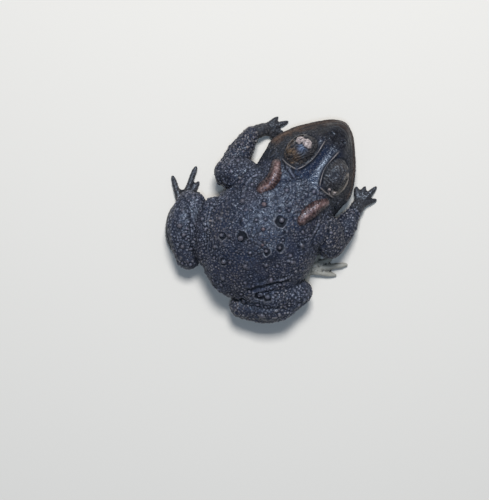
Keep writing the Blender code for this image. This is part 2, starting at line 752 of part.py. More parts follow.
def scattered_spots(obj, count, taken, seed):
    """Spots spread evenly over the upper side of obj, with no two closer than the spacing."""
    draw = random.Random(seed)
    shape = bmesh.new()
    shape.from_mesh(obj.data)
    shape.faces.ensure_lookup_table()
    lowest = SMALL_WART_LOWEST * MM
    faces = [f for f in shape.faces if f.normal.z > -0.1 and f.calc_center_median().z > lowest]
    areas = [f.calc_area() for f in faces]
    spots = []
    for _ in range(count * 12):
        if len(spots) == count:
            break
        face = draw.choices(faces, areas)[0]
        shares = [draw.random() for _ in face.verts]
        point = sum((v.co * s for v, s in zip(face.verts, shares)), Vector()) / sum(shares)
        radius = draw.uniform(*SMALL_WART_RADIUS)
        others = taken + spots
        if all((point - p).length > (SMALL_WART_SPACING + r) * MM for p, _, r in others):
            spots.append((point, face.normal.copy(), radius))
    shape.free()
    return spots


def centre_on_origin(objects):
    """Moves the toad so that the middle of its bounding box is over the origin."""
    places = [vert.co for obj in objects for vert in obj.data.vertices]
    middle_x = (min(p.x for p in places) + max(p.x for p in places)) / 2
    middle_y = (min(p.y for p in places) + max(p.y for p in places)) / 2
    for obj in objects:
        obj.data.transform(Matrix.Translation((-middle_x, -middle_y, 0)))


def finish(obj, look):
    obj.data.materials.clear()
    obj.data.materials.append(look)
    obj.data.shade_smooth()
    obj.data.set_sharp_from_angle(angle=math.radians(50))


def main():
    clear_scene()
    skin = material("skin", SKIN)
    limb_skin = material("limb_skin", LIMB_SKIN)
    gland_skin = material("gland_skin", GLAND_SKIN)
    eye_gloss = material("eye_gloss", EYE_GLOSS)
    words = {1: "left", -1: "right"}
    head, torso, body = make_head_and_torso()
    eyes = [make_eye(side, f"eye_{words[side]}") for side in words]
    glands = {side: make_parotoid(side, f"parotoid_{words[side]}", body, head) for side in words}
    limbs = []
    for side, word in words.items():
        arm = make_arm(side, word, body, glands[side])
        limbs += arm + make_leg(side, word, body, arm)
    bpy.data.objects.remove(body)
    everything = [head, torso] + eyes + list(glands.values()) + limbs
    warty = [obj for obj in [torso] + limbs if not obj.name.startswith(("hand", "foot"))]
    for seed, obj in enumerate(warty):
        add_warts(obj, everything, seed)
    centre_on_origin(everything)
    for obj in (head, torso):
        finish(obj, skin)
    for obj in limbs:
        finish(obj, limb_skin)
    for obj in glands.values():
        finish(obj, gland_skin)
    for obj in eyes:
        finish(obj, eye_gloss)


main()
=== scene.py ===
"""American toad, life size, seen from above: its skin, glands and eyes over the solid model.

One skin covers the head, trunk, glands and legs. It starts from the solids themselves, swollen so that
the thin cuts between them close, fused, smoothed and drawn back again, and then gets its warts,
granules, folds, lids and lips as real relief. Shapes are worked out in millimetres, in the toad's own
design frame, where the tip of the snout is at y = SNOUT_Y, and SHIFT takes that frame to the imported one.
A side is +1 for the toad's left and -1 for its right.
"""

import math

import bmesh
import bpy
import numpy as np
from mathutils import Matrix, Vector, noise
from mathutils.bvhtree import BVHTree
from mathutils.kdtree import KDTree


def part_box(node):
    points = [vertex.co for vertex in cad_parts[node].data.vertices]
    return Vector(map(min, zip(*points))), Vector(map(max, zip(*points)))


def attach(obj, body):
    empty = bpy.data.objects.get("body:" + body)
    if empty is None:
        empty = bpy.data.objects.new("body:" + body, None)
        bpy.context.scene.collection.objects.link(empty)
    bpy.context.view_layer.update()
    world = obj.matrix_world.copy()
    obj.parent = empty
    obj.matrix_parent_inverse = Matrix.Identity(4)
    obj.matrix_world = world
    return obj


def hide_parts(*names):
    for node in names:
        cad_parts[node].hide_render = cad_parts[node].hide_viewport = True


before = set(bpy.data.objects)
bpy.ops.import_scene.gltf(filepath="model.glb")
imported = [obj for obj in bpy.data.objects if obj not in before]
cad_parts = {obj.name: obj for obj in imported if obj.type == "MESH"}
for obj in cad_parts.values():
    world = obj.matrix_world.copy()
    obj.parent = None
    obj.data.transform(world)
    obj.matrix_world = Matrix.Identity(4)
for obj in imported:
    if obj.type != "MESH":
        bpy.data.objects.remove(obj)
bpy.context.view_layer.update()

MM = 0.001

# The head's sizes, as in the solid model
SNOUT_Y = -39.0
HEAD_ROLL = math.radians(5)
ROLL_AXIS_HEIGHT = 12.0
ROLL_FULL_Y = -15.0
ROLL_NONE_Y = -3.0
HEAD_HALF_WIDTH = ((0, 1.6), (1.0, 3.2), (3.5, 6.1), (6.5, 8.9), (11.5, 13.0), (17.5, 16.4), (22.5, 17.4),
                   (33.5, 16.8))
LIP_HEIGHT = ((0, 9.8), (6.5, 9.5), (17.5, 9.0), (22.5, 9.3), (33.5, 10.0))
CROWN_HEIGHT = 22.0
JAW_ANGLE_BEHIND_SNOUT = 23.0
EYE_RADIUS = 3.9
EYE_Y = SNOUT_Y + 17.8
EYE_CENTRE = {1: (7.7, EYE_Y, 19.8), -1: (7.1, EYE_Y, 19.2)}
EYE_AIM = (0.90, -0.34, 0.26)
APERTURE = (3.7, 2.4)
LID_CENTRE = {1: (7.9, EYE_Y, 20.0), -1: (7.2, EYE_Y, 19.2)}
LID_RADII = {1: (5.0, 5.9, 5.4), -1: (4.7, 5.8, 5.2)}
NOSTRIL = (2.6, 6.4)
TYMPANUM_BEHIND_SNOUT = 24.3
TYMPANUM_HEIGHT = 15.4
TYMPANUM_RADIUS = 2.0
PAROTOID = {
    1: ((11.2, -12.2), (9.2, -8.6), (8.9, -5.0), (10.0, -1.8)),
    -1: ((-10.8, -11.2), (-9.3, -7.9), (-8.3, -4.4), (-7.8, -1.2)),
}

# Ridges and grooves along a line or round a place: how far from it, how wide and how high each is.
# A groove's height is under zero. LID_RINGS and MOAT are measured in radii of the slit and of the lid.
MOUTH_DROP = 0.9
MOUTH_GROOVE = (0, 0.20, -0.42)
LIP_RIM_DROP = -0.5
LIP_RIM = (0, 0.75, 0.22)
LIP_CREASES = ((1.5, 0.30, -0.12), (2.9, 0.35, -0.10))
CREST_GROOVE = (0.85, 0.45, -0.06)
NOSTRIL_RIM = (0.95, 0.35, 0.08)
TYMPANUM_RIM = (TYMPANUM_RADIUS, 0.28, 0.20)
LID_RINGS = ((1.16, 0.11, 0.24), (1.42, 0.08, -0.16), (1.72, 0.09, -0.09))

# The same for masks, which have no height
LIP_PALE_EDGE = (0.70, 0.34)
CREST_SHADE = (0.75, 0.4)
LID_RIM_SHADE = (1.08, 0.10)
MOAT = (1.08, 0.06)

# The depths of hollows, and where the brown band on the lip ends above and starts below
MOAT_DEPTH = 0.20
NOSTRIL_RADIUS = 0.75
NOSTRIL_DEPTH = 0.40
NOSTRIL_SHADE = 0.8
TYMPANUM_DEPTH = 0.16
LIP_BAND = (3.6, 1.8)
LIP_BAND_FLOOR = (8.0, 9.6)
LIP_FLATNESS = 0.4

# The crests of bone by height and course, as x and how far behind the snout's tip
CREST_WIDTH = 0.22
CRESTS = (
    (0.30, ((3.2, 9.5), (2.9, 13.0), (2.7, 18.0), (4.1, 22.5), (5.2, 24.5))),
    (0.22, ((5.2, 24.5), (8.2, 24.7), (11.6, 24.4))),
)

# The large warts of the back and legs: x, y, the radius of the dome and that of the pit round it
PITTED_WARTS = (
    (6.0, 2.2, 1.1, 1.4), (-2.3, 3.0, 1.1, 2.1), (5.4, 16.8, 1.15, 2.2), (-7.6, 11.2, 0.8, 1.5),
    (-2.2, 14.0, 0.7, 0.8), (-4.4, 15.0, 0.85, 1.5), (-7.5, 18.9, 0.9, 1.1), (5.3, 27.1, 1.0, 1.6),
    (1.9, 32.0, 0.9, 1.1), (15.6, 15.6, 1.0, 1.2), (11.6, 20.0, 0.85, 1.6), (9.2, 18.4, 0.85, 1.2),
    (11.0, 24.6, 0.9, 1.1), (-14.2, 12.6, 0.95, 1.2), (-1.8, 23.8, 1.0, 1.3), (1.0, 9.4, 0.85, 1.0),
    (12.8, 5.8, 1.0, 1.3), (-13.4, 5.8, 1.0, 1.3), (28.2, 21.2, 0.9, 1.2), (25.6, 26.2, 1.0, 1.4),
    (22.6, 28.0, 0.9, 1.2), (20.4, 31.6, 0.95, 1.4), (-12.2, 28.8, 1.0, 1.9), (-14.8, 27.8, 0.95, 1.6),
    (-8.9, 34.2, 0.95, 1.7), (-10.2, 32.0, 0.8, 1.2), (-17.3, 34.4, 1.2, 1.6), (-12.1, 23.8, 0.85, 1.3),
    (-14.0, 22.1, 0.65, 1.0), (-16.7, 20.1, 0.75, 1.1),
)
RED_WARTS = ((6.0, 2.2), (-2.2, 14.0), (1.0, 9.4))
PIT_DEPTH_SHARE = 0.42
PIT_RIM_HEIGHT = 0.1

# Pale lumps by x, y, radius and height: two on the left lid's front edge, and some behind the right eye
PALE_LUMPS = (
    (9.5, -23.6, 1.6, 0.75), (6.7, -24.1, 1.85, 0.9),
    (-9.4, -15.8, 0.7, 0.3), (-11.3, -16.0, 0.8, 0.3), (-10.2, -14.9, 0.6, 0.25),
)

# Folds of loose skin by height, width and where they run, as x and y, and how far they wander from there.
# The seed keeps the wandering the same in every run.
SKIN_FOLDS = (
    (0.34, 0.42, ((11.7, -14.5), (8.1, -14.0), (4.2, -12.4), (1.8, -11.5))),
    (0.2, 0.4, ((-4.3, -13.0), (-7.2, -13.2), (-10.4, -13.9))),
    (0.17, 0.28, ((20.9, 13.4), (18.5, 18.6), (14.0, 24.6), (10.6, 29.2))),
    (0.14, 0.26, ((21.2, 16.6), (17.0, 22.2), (13.0, 27.6))),
    (0.13, 0.26, ((19.4, 14.6), (15.8, 20.0), (12.4, 24.0), (10.3, 27.3))),
    (0.1, 0.24, ((18.2, 13.8), (15.8, 17.4), (12.8, 21.4))),
    (0.22, 0.4, ((-18.0, 15.2), (-15.0, 19.4), (-10.6, 25.2))),
    (-0.55, 0.75, ((-19.6, 17.0), (-15.2, 21.0), (-10.4, 26.8), (-6.2, 32.2))),
    (0.22, 0.45, ((12.4, -6.6), (14.6, -4.0), (15.4, 0.6), (14.2, 4.6))),
    (0.22, 0.45, ((-12.2, -6.6), (-14.0, -3.6), (-14.6, 0.6), (-13.6, 4.4))),
)
FOLD_WANDER = 0.7
FOLD_SEED = 8

# Where the solids' own shapes are eased into their surroundings: the line as x and y, how far it reaches,
# the share, and whether only hollows are filled
EASED = (
    ((-7.6, 32.4), (-12.4, 31.0), (-17.6, 27.1), (-22.6, 20.2), 3.2, 0.8, True),
    PAROTOID[1] + (3.2, 0.52, False),
    PAROTOID[-1] + (3.2, 0.52, False),
)
EASE_ROUNDS = 300
EASE_MARGIN = 4.0

# The outer edge of the right lid, as x and y, the size of its fold, and how deep its middle is dented
LID_EDGE = ((-10.6, -25.0), (-12.2, -23.2), (-12.9, -20.9), (-12.7, -18.6), (-11.7, -16.6), (-10.2, -15.2))
LID_EDGE_HEIGHT = 0.55
LID_EDGE_WIDTH = 0.95
RIGHT_LID_DENT = 0.8

# Wrinkles of the lids: their slant as shares of x and y, how much they waver, their spacing and height
LID_WRINKLES = {1: (0.8, -0.4, 1.4, 1.15), -1: (0.35, 1.0, 1.3, 1.3)}
LID_WRINKLE_HEIGHT = 0.09
LEFT_LID_SWELL = 0.16

# Eyeballs: how far the cornea stands out, and the pupil's half width and half height
CORNEA_RISE = 0.25
PUPIL = (1.75, 0.95)

# How the skin is made, and the rounds of smoothing that tell grains, knobs and limbs apart
SWELL = 0.2
VOXEL = 0.22
BASE_SMOOTHING = 7
GRAIN_ROUNDS = 14
KNOB_ROUNDS = 60
LIMB_ROUNDS = 80
KNOB_HEIGHT = 0.12
FLESH = sorted(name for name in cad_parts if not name.startswith("eye_"))

# The middle of the body and of the head, as x
BODY_X = -0.4
HEAD_X = -0.8

# Masks that only shape the skin, and that its colour doesn't need
SHAPING_ONLY = ("head", "lid_left", "granular", "coarse", "rough", "grainy")

# Glands: waves along each, their height, and the pores' spacing, radius and depth
GLAND_WAVES = 26
GLAND_WAVE_HEIGHT = 0.09
PORE_SPACING = 1.25
PORE_RADIUS = 0.42
PORE_DEPTH = 0.12

# Small warts, strewn at random: the least spacing, the share of places that have one, the radii, the
# height as a share of the radius, and the masks that they keep off
SMALL_WART_SPACING = 3.0
SMALL_WART_SHARE = 0.55
SMALL_WART_RADIUS = (0.36, 0.74)
SMALL_WART_HEIGHT = 0.42
TAKEN = ("wart", "pit", "pit_rim", "knob", "gland", "head", "digit")

# Granules: the least spacing, radius, height and mask of each size, from coarse to fine, and how much
# their radius and strength vary
GRANULES = (
    (1.9, 0.74, 0.26, "coarse"),
    (0.98, 0.55, 0.28, "granular"),
    (0.58, 0.33, 0.11, "grainy"),
)
GRAIN_SIZES = (0.62, 1.2)
GRAIN_STRENGTHS = (0.2, 1.2)

# Unevenness all over: slow swells, fine wrinkles and a net of creases
SWELL_HEIGHT = 0.22
WRINKLE_HEIGHT = 0.05
CREASE_DEPTH = 0.12

# Patterns of noise: the size in millimetres, the detail, and the noise that counts as none and as full
PATTERNS = {
    "patches": (7.0, 3.0, 0.4, 0.6),
    "clouds": (9.0, 1.0, 0.48, 0.62),
    "mottling": (1.8, 3.0, 0.42, 0.62),
    "speckle": (0.6, 1.0, 0.46, 0.62),
    "brown": (2.6, 3.0, 0.36, 0.6),
    "gland_patches": (1.3, 3.0, 0.35, 0.65),
    "gland_shine": (1.1, 3.0, 0.46, 0.6),
    "belly_spots": (2.6, 3.0, 0.45, 0.58),
    "grain_tint": (14.0, 1.0, 0.42, 0.58),
    "lump_patches": (1.0, 3.0, 0.35, 0.6),
}

# Two colours each, and the pattern that mixes them
SKIN_COLOURS = ("patches", (0.005, 0.008, 0.019), (0.012, 0.018, 0.04))
GLAND_COLOURS = ("gland_patches", (0.01, 0.006, 0.006), (0.038, 0.02, 0.02))
BELLY_COLOURS = ("belly_spots", (0.3, 0.28, 0.24), (0.05, 0.05, 0.055))
# The pale tips of grains: partly their own pale colour and partly a painted highlight, bluish in places
GRAIN_COLOURS = ("grain_tint", (0.22, 0.235, 0.3), (0.28, 0.25, 0.235))
LUMP_COLOURS = ("lump_patches", (0.19, 0.155, 0.155), (0.46, 0.4, 0.4))

# Colours laid over one another, the lowest first: where, as masks and patterns, the share, the colour
SKIN_LAYERS = (
    ("clouds", 0.5, (0.025, 0.023, 0.032)),
    ("mottling", 0.35, (0.024, 0.027, 0.046)),
    ("limb", 0.5, (0.009, 0.011, 0.02)),
    # Painted light: a paler, bluish tint that lifts the hind legs out of the shade the key light leaves
    # them in
    ("hind", 0.45, (0.026, 0.031, 0.048)),
    # The head's sides near black: partly their own dark colour and partly painted shade
    ("cheek", 0.9, (0.006, 0.006, 0.006)),
    # Near black with a painted bluish sheen on the up-facing top of the head
    ("crown", 0.8, (0.006, 0.013, 0.036)),
    ("snout", 0.9, (0.007, 0.006, 0.006)),
    ("speckle", 0.22, (0.05, 0.06, 0.095)),
    # Raised places lighter: partly the grains' pale colour and partly a painted bluish highlight
    ("height", 0.5, (0.09, 0.102, 0.155)),
    ("fold", 0.4, (0.13, 0.135, 0.165)),
    # Painted highlight on the raised rims of the pits
    ("pit_rim", 0.6, (0.12, 0.122, 0.14)),
    ("lid", 0.8, (0.03, 0.027, 0.025)),
    ("lid_gold brown", 0.9, (0.12, 0.076, 0.042)),
    # Painted bluish sheen in the middle of the left lid
    ("lid_blue_sheen", 0.85, (0.06, 0.09, 0.17)),
    # Painted shade in the dent of the right lid
    ("lid_dent", 0.95, (0.006, 0.008, 0.016)),
    ("lip", 0.75, (0.011, 0.009, 0.009)),
    ("lip brown", 0.8, (0.055, 0.031, 0.02)),
    ("lip_edge", 0.6, (0.11, 0.07, 0.046)),
    ("digit", 0.75, (0.024, 0.024, 0.025)),
    # The right foot paler: partly its own colour and partly painted light that lifts it out of the body's
    # shade
    ("pale_foot", 0.85, (0.34, 0.335, 0.3)),
)
GLAND_LAYERS = (
    # Painted highlight along the top of each gland, pinkish white in patches
    ("gland_top", 0.55, (0.12, 0.072, 0.07)),
    ("gland_top gland_shine", 0.8, (0.3, 0.215, 0.215)),
    ("gland_stripe", 0.3, (0.2, 0.13, 0.125)),
)
WART_LAYERS = (
    ("snout", 0.4, (0.007, 0.006, 0.006)),
    ("knob", 0.6, (0.085, 0.076, 0.092)),
    ("wart", 0.6, (0.08, 0.076, 0.09)),
    ("small_wart", 0.65, (0.13, 0.12, 0.155)),
    ("red", 0.6, (0.115, 0.072, 0.072)),
    ("crest", 0.75, (0.19, 0.17, 0.16)),
    ("lid_rim", 0.5, (0.075, 0.065, 0.06)),
    ("lid_edge", 0.85, (0.26, 0.225, 0.195)),
)

# Painted shade: the masks of hollows, grooves, pits, pores, creases and seams that darken the skin, each
# with its share, and the colour of the shade
PAINTED_SHADE_PLACES = (
    ("cavity", 0.95), ("pit", 1.0), ("mouth", 1.0), ("nostril", 1.0), ("seam", 1.0), ("furrow", 0.9),
    ("moat", 0.75), ("beside_crest", 0.75), ("wart_ring", 0.75), ("pore", 0.7), ("crease", 0.6),
    ("lid_crease", 0.8),
)
PAINTED_SHADE_COLOUR = (0.002, 0.002, 0.004)

# The skin's roughness where dry and where wet, and what the places of painted shade, cheeks and dry patches
# add to it
DRY_TO_WET = (0.33, 0.15)
ROUGHER_IN_SHADE = 0.35
ROUGHER_CHEEK = 0.22
ROUGHER_PATCHES = 0.22

# The camera looks straight down on FRAME_MIDDLE: the height of what it shows is measured at FRAME_PLANE,
# and IMAGE_UP is the way on the floor that is up in the picture
SENSOR = 36.0
CAMERA_HEIGHT = 600.0
FRAME_HEIGHT = 180.0
FRAME_PLANE = 12.0
FRAME_MIDDLE = (1.9, 19.2, 0.0)
IMAGE_UP = (0.6, -0.8)

# Floor and lights, in metres: a light's name, place, size, energy and colour
FLOOR_SIZE = 1.5
FLOOR_COLOUR = (0.58, 0.57, 0.55)
LIGHTS = (
    ("key", (0.2, -0.32, 0.74), 0.24, 8.4, (1.0, 0.98, 0.95)),
    ("overhead", (-0.05, 0.12, 1.00), 0.14, 2.05, (0.62, 0.8, 1.0)),
)
SKY_COLOUR = (0.84, 0.9, 1.0, 1)
SKY_STRENGTH = 0.17


def smooth_curve(knots, count):
    """count points along a Catmull-Rom curve through the knots."""
    knots = np.array(knots, float)
    padded = np.vstack([2 * knots[0] - knots[1], knots, 2 * knots[-1] - knots[-2]])
    points = []
    for place in np.linspace(0, len(knots) - 1, count):
        i = min(int(place), len(knots) - 2)
        t = place - i
        before, start, end, after = padded[i:i + 4]
        points.append(0.5 * (
            2 * start + (end - before) * t
            + (2 * before - 5 * start + 4 * end - after) * t ** 2
            + (3 * start - before - 3 * end + after) * t ** 3
        ))
    return np.array(points)


def curve_at(knots, place):
    """The value at one place of a smooth curve given as (place, value) knots."""
    fine = smooth_curve(knots, 12 * len(knots))
    return float(np.interp(place, fine[:, 0], fine[:, 1]))


def roll_head(point):
    """Turns a point of the level head about the body's long axis, fading out over the neck."""
    x, y, z = point
    share = min(1.0, max(0.0, (ROLL_NONE_Y - y) / (ROLL_NONE_Y - ROLL_FULL_Y)))
    angle = HEAD_ROLL * share * share * (3 - 2 * share)
    rise = z - ROLL_AXIS_HEIGHT
    return Vector((
        x * math.cos(angle) - rise * math.sin(angle),
        y,
        ROLL_AXIS_HEIGHT + x * math.sin(angle) + rise * math.cos(angle),
    ))


def roll_direction(way):
    """The same turn for a direction on the head."""
    turned = Matrix.Rotation(-HEAD_ROLL, 3, "Y") @ Vector(way)
    return turned.normalized()


def to_side(point, side):
    return Vector((side * point[0], point[1], point[2]))


def shift_of_frame():
    """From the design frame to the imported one, in millimetres, read from where the left eye lies."""
    low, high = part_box("eye_left")
    middle = (low + high) / 2 / MM
    return middle - roll_head(EYE_CENTRE[1])


SHIFT = shift_of_frame()


def flesh_copy(name):
    """A welded copy of one solid in the design frame, swollen a little."""
    shape = bmesh.new()
    shape.from_mesh(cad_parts[name].data)
    bmesh.ops.remove_doubles(shape, verts=shape.verts, dist=1e-6)
    for vert in shape.verts:
        vert.co = vert.co / MM - SHIFT
    shape.normal_update()
    normals = [v.normal.copy() for v in shape.verts]
    for vert, normal in zip(shape.verts, normals):
        vert.co += normal * SWELL
    return shape


def joined_flesh():
    """All the solids of flesh in one mesh, and which solid each of its faces came from."""
    whole = bmesh.new()
    owners = []
    for number, name in enumerate(FLESH):
        shape = flesh_copy(name)
        mesh = bpy.data.meshes.new(name)
        shape.to_mesh(mesh)
        shape.free()
        owners += [number] * len(mesh.polygons)
        whole.from_mesh(mesh)
        bpy.data.meshes.remove(mesh)
    return whole, np.array(owners)


def new_object(name, data):
    obj = bpy.data.objects.new(name, data)
    bpy.context.scene.collection.objects.link(obj)
    return obj


def fused(whole):
    """One closed mesh round everything, as fine as VOXEL."""
    mesh = bpy.data.meshes.new("skin")
    whole.to_mesh(mesh)
    obj = new_object("skin", mesh)
    remesh = obj.modifiers.new("Remesh", "REMESH")
    remesh.mode = "VOXEL"
    remesh.voxel_size = VOXEL
    graph = bpy.context.evaluated_depsgraph_get()
    obj.data = bpy.data.meshes.new_from_object(obj.evaluated_get(graph))
    obj.modifiers.clear()
    keep_largest(obj)
    return obj


def keep_largest(obj):
    """Drops scraps and sealed inner walls, keeping the one largest closed surface."""
    mesh = obj.data
    edges = edge_array(mesh)
    root = np.arange(len(mesh.vertices))
    while True:
        low = np.minimum(root[edges[:, 0]], root[edges[:, 1]])
        before = root.copy()
        np.minimum.at(root, edges[:, 0], low)
        np.minimum.at(root, edges[:, 1], low)
        root = root[root]
        if np.array_equal(before, root):
            break
    counts = np.bincount(root)
    loose = root != counts.argmax()
    if not loose.any():
        return
    shape = bmesh.new()
    shape.from_mesh(mesh)
    shape.verts.ensure_lookup_table()
    bmesh.ops.delete(shape, geom=[shape.verts[i] for i in np.flatnonzero(loose)], context="VERTS")
    shape.to_mesh(mesh)
    shape.free()


def points_of(mesh):
    flat = np.empty(3 * len(mesh.vertices), np.float32)
    mesh.vertices.foreach_get("co", flat)
    return flat.reshape(-1, 3).astype(float)


def edge_array(mesh):
    flat = np.empty(2 * len(mesh.edges), np.int32)
    mesh.edges.foreach_get("vertices", flat)
    return flat.reshape(-1, 2)


def relaxed(values, edges, rounds):
    """values, one row a vertex, drawn halfway to the mean of each vertex's neighbours, rounds times."""
    values = values.reshape(len(values), -1).astype(float)
    count = len(values)
    share = np.bincount(edges.ravel(), minlength=count)[:, None]
    for _ in range(rounds):
        total = np.empty_like(values)
        for k in range(values.shape[1]):
            total[:, k] = (
                np.bincount(edges[:, 0], values[edges[:, 1], k], count)
                + np.bincount(edges[:, 1], values[edges[:, 0], k], count)
            )
        values = values + 0.5 * (total / share - values)
    return values


def normals_at(mesh, points):
    """Vertex normals of the mesh with its vertices moved to points."""
    mesh.vertices.foreach_set("co", points.astype(np.float32).ravel())
    mesh.update()
    flat = np.empty(3 * len(mesh.vertices), np.float32)
    mesh.vertex_normals.foreach_get("vector", flat)
    return flat.reshape(-1, 3).astype(float)


def lengths(offsets):
    return np.linalg.norm(offsets, axis=1)


def noise_at(points, scale, offset=(0, 0, 0)):
    """Smooth noise from about -1 to 1 at each point, which changes over 1 / scale millimetres."""
    return np.array([noise.noise(Vector(p) * scale + Vector(offset)) for p in points])


def bump(distance, radius):
    """A round bump: 1 in the middle, 0 from the radius on, level at both."""
    t = np.clip(distance / radius, 0, 1)
    return (1 - t * t) ** 2


def peak(distance, radius):
    """A rounded grain with a crisp foot and a small point."""
    t = np.clip(distance / radius, 0, 1)
    return 0.75 * (1 - t * t) + 0.25 * (1 - t) ** 2


def ring(distance, radius, width, height=1.0):
    """A soft ridge beside a line or round a place, at its full height at the radius."""
    return height * np.exp(-((distance - radius) / width) ** 2)


def fade(values, start, end):
    """0 at start and before, 1 at end and beyond, smooth between. It may also run downwards."""
    t = np.clip((values - start) / (end - start), 0, 1)
    return t * t * (3 - 2 * t)


def tapered(along, full):
    """0 at both ends of a line, whose places run from 0 to 1, and 1 closer to its middle than full."""
    return fade(np.abs(along - 0.5), 0.5, full)


def tree_of_points(points):
    tree = KDTree(len(points))
    for i, point in enumerate(points):
        tree.insert(point, i)
    tree.balance()
    return tree


def nearest(points, centres):
    """For each point, how far the nearest centre is and which one it is."""
    tree = tree_of_points(centres)
    found = [tree.find(point)[1:] for point in points]
    return np.array([f[1] for f in found]), np.array([f[0] for f in found])


def distance_to_line(points, line):
    """How far each point is from a line of points, and how far along it that is, from 0 to 1."""
    line = np.array(line, float)
    best = np.full(len(points), np.inf)
    along = np.zeros(len(points))
    steps = len(line) - 1
    for i in range(steps):
        start, way = line[i], line[i + 1] - line[i]
        t = np.clip((points - start) @ way / (way @ way), 0, 1)
        gap = lengths(points - start - t[:, None] * way)
        closer = gap < best
        best[closer] = gap[closer]
        along[closer] = (i + t[closer]) / steps
    return best, along


def spread(points, spacing, draw):
    """The numbers of points picked all over the surface, no two closer than the spacing."""
    order = draw.permutation(len(points))
    cells = np.floor(points[order] / (0.6 * spacing)).astype(int)
    _, first = np.unique(cells, axis=0, return_index=True)
    picked = order[np.sort(first)]
    tree = tree_of_points(points[picked])
    kept = np.ones(len(picked), bool)
    for i, number in enumerate(picked):
        if kept[i]:
            for _, other, _ in tree.find_range(points[number], spacing):
                if other > i:
                    kept[other] = False
    return picked[kept]


class Skin:
    """The skin's mesh with its points, normals and masks while it is being shaped."""

    def __init__(self):
        whole, owners = joined_flesh()
        tree = BVHTree.FromBMesh(whole)
        self.obj = fused(whole)
        whole.free()
        self.mesh = self.obj.data
        self.edges = edge_array(self.mesh)
        points = relaxed(points_of(self.mesh), self.edges, BASE_SMOOTHING)
        owner = owners[[tree.find_nearest(p)[2] for p in points]]
        points -= SWELL * normals_at(self.mesh, points)
        self.points = relaxed(points, self.edges, 2)
        self.masks = {}
        self.owner = owner
        self.relief = np.zeros(len(points))
        self.settle()
        tree = self.surface_tree()
        for *knots, reach, share, only_fill in EASED:
            self.ease([plumb(tree, x, y) for x, y in smooth_curve(knots, 12)], reach, share, only_fill)
        self.settle()

    def settle(self):
        """Takes the points as they are for the shape that all relief starts from."""
        self.base = self.points.copy()
        self.normals = normals_at(self.mesh, relaxed(self.points, self.edges, 12))

    def ease(self, line, reach, share, only_fill):
        """Draws the skin along a line towards a much smoother one."""
        gap, _ = distance_to_line(self.points, line)
        near = np.flatnonzero(gap < 1.6 * reach + EASE_MARGIN)
        number = np.full(len(self.points), -1)
        number[near] = np.arange(len(near))
        edges = number[self.edges]
        edges = edges[(edges >= 0).all(axis=1)]
        move = relaxed(self.points[near], edges, EASE_ROUNDS) - self.points[near]
        weight = share * fade(gap[near], 1.6 * reach, 0.5 * reach)
        if only_fill:
            weight *= fade(np.einsum("ij,ij->i", move, self.normals[near]), 0.0, 0.1)
        self.points[near] += move * weight[:, None]

    def of_nodes(self, *words, rounds=6):
        """A mask of the nodes whose names start with one of the words, soft at its edges."""
        wanted = [name.startswith(words) for name in FLESH]
        inside = np.array(wanted)[self.owner].astype(float)
        return relaxed(inside, self.edges, rounds)[:, 0]

    def surface_tree(self):
        return BVHTree.FromPolygons(
            [Vector(p) for p in self.base], [tuple(f.vertices) for f in self.mesh.polygons])

    def around(self, middle, reach):
        """The numbers of the points within reach of a place, and where they lie from it."""
        offset = self.points - middle
        near = np.flatnonzero(lengths(offset) < reach)
        return near, offset[near]

    def mark(self, name, mask):
        """Puts a mask over what the mask of that name holds so far, whichever is stronger."""
        self.masks[name] = np.maximum(self.masks.get(name, 0.0), mask)

    def raise_by(self, amount):
        self.relief = self.relief + amount

    def apply_relief(self):
        """Moves every point out along its normal by the relief gathered so far."""
        self.points = self.points + self.normals * self.relief[:, None]
        self.relief = np.zeros(len(self.points))


def plumb(tree, x, y):
    """The highest place of the skin over (x, y)."""
    return tree.ray_cast(Vector((x, y, 60.0)), Vector((0, 0, -1)))[0]


def on_head(tree, x, behind):
    """Where a place of the level head's top lies on the rolled head."""
    place = roll_head((x, SNOUT_Y + behind, CROWN_HEIGHT))
    return plumb(tree, place.x, place.y)


def lip_point(tree, side, behind, drop):
    """A place on the mouth's line, snapped to the skin."""
    across = side * curve_at(HEAD_HALF_WIDTH, behind)
    height = curve_at(LIP_HEIGHT, behind) - drop
    return tree.find_nearest(roll_head((across, SNOUT_Y + behind, height)))[0]


def mouth_line(tree, drop, count=26):
    """A line round the head from the right jaw to the left one, drop under the lips."""
    places = np.linspace(0.05, JAW_ANGLE_BEHIND_SNOUT, count)
    left = [lip_point(tree, 1, p, drop) for p in places]
    right = [lip_point(tree, -1, p, drop) for p in places]
    return right[::-1] + left


def add_mouth(skin, tree):
    """The groove between the lips, the rolled rim over it and a brown band along the upper lip."""
    gap, along = distance_to_line(skin.points, mouth_line(tree, MOUTH_DROP))
    reach = tapered(along, 0.42)
    skin.raise_by(ring(gap, *MOUTH_GROOVE) * reach)
    edge = np.array(mouth_line(tree, LIP_RIM_DROP))
    rim, _ = distance_to_line(skin.points, edge)
    skin.raise_by(ring(rim, *LIP_RIM) * reach)
    flatter = np.array((1, 1, LIP_FLATNESS))
    inward, _ = distance_to_line(skin.points * flatter, edge * flatter)
    inward += 0.35 * noise_at(skin.base, 0.35)
    over_lip = reach * fade(skin.points[:, 2], *LIP_BAND_FLOOR)
    for crease in LIP_CREASES:
        skin.raise_by(ring(inward, *crease) * over_lip)
    # Painted shade: the lip's brown is weaker on the toad's right side, and the groove's mask darkens it
    stronger_on_left = 0.45 + 0.55 * fade(skin.points[:, 0], -9.0, -1.0)
    skin.masks["mouth"] = ring(gap, 0, 0.35) * reach
    skin.masks["lip"] = fade(inward, *LIP_BAND) * over_lip * stronger_on_left
    skin.masks["lip_edge"] = ring(inward, *LIP_PALE_EDGE) * over_lip


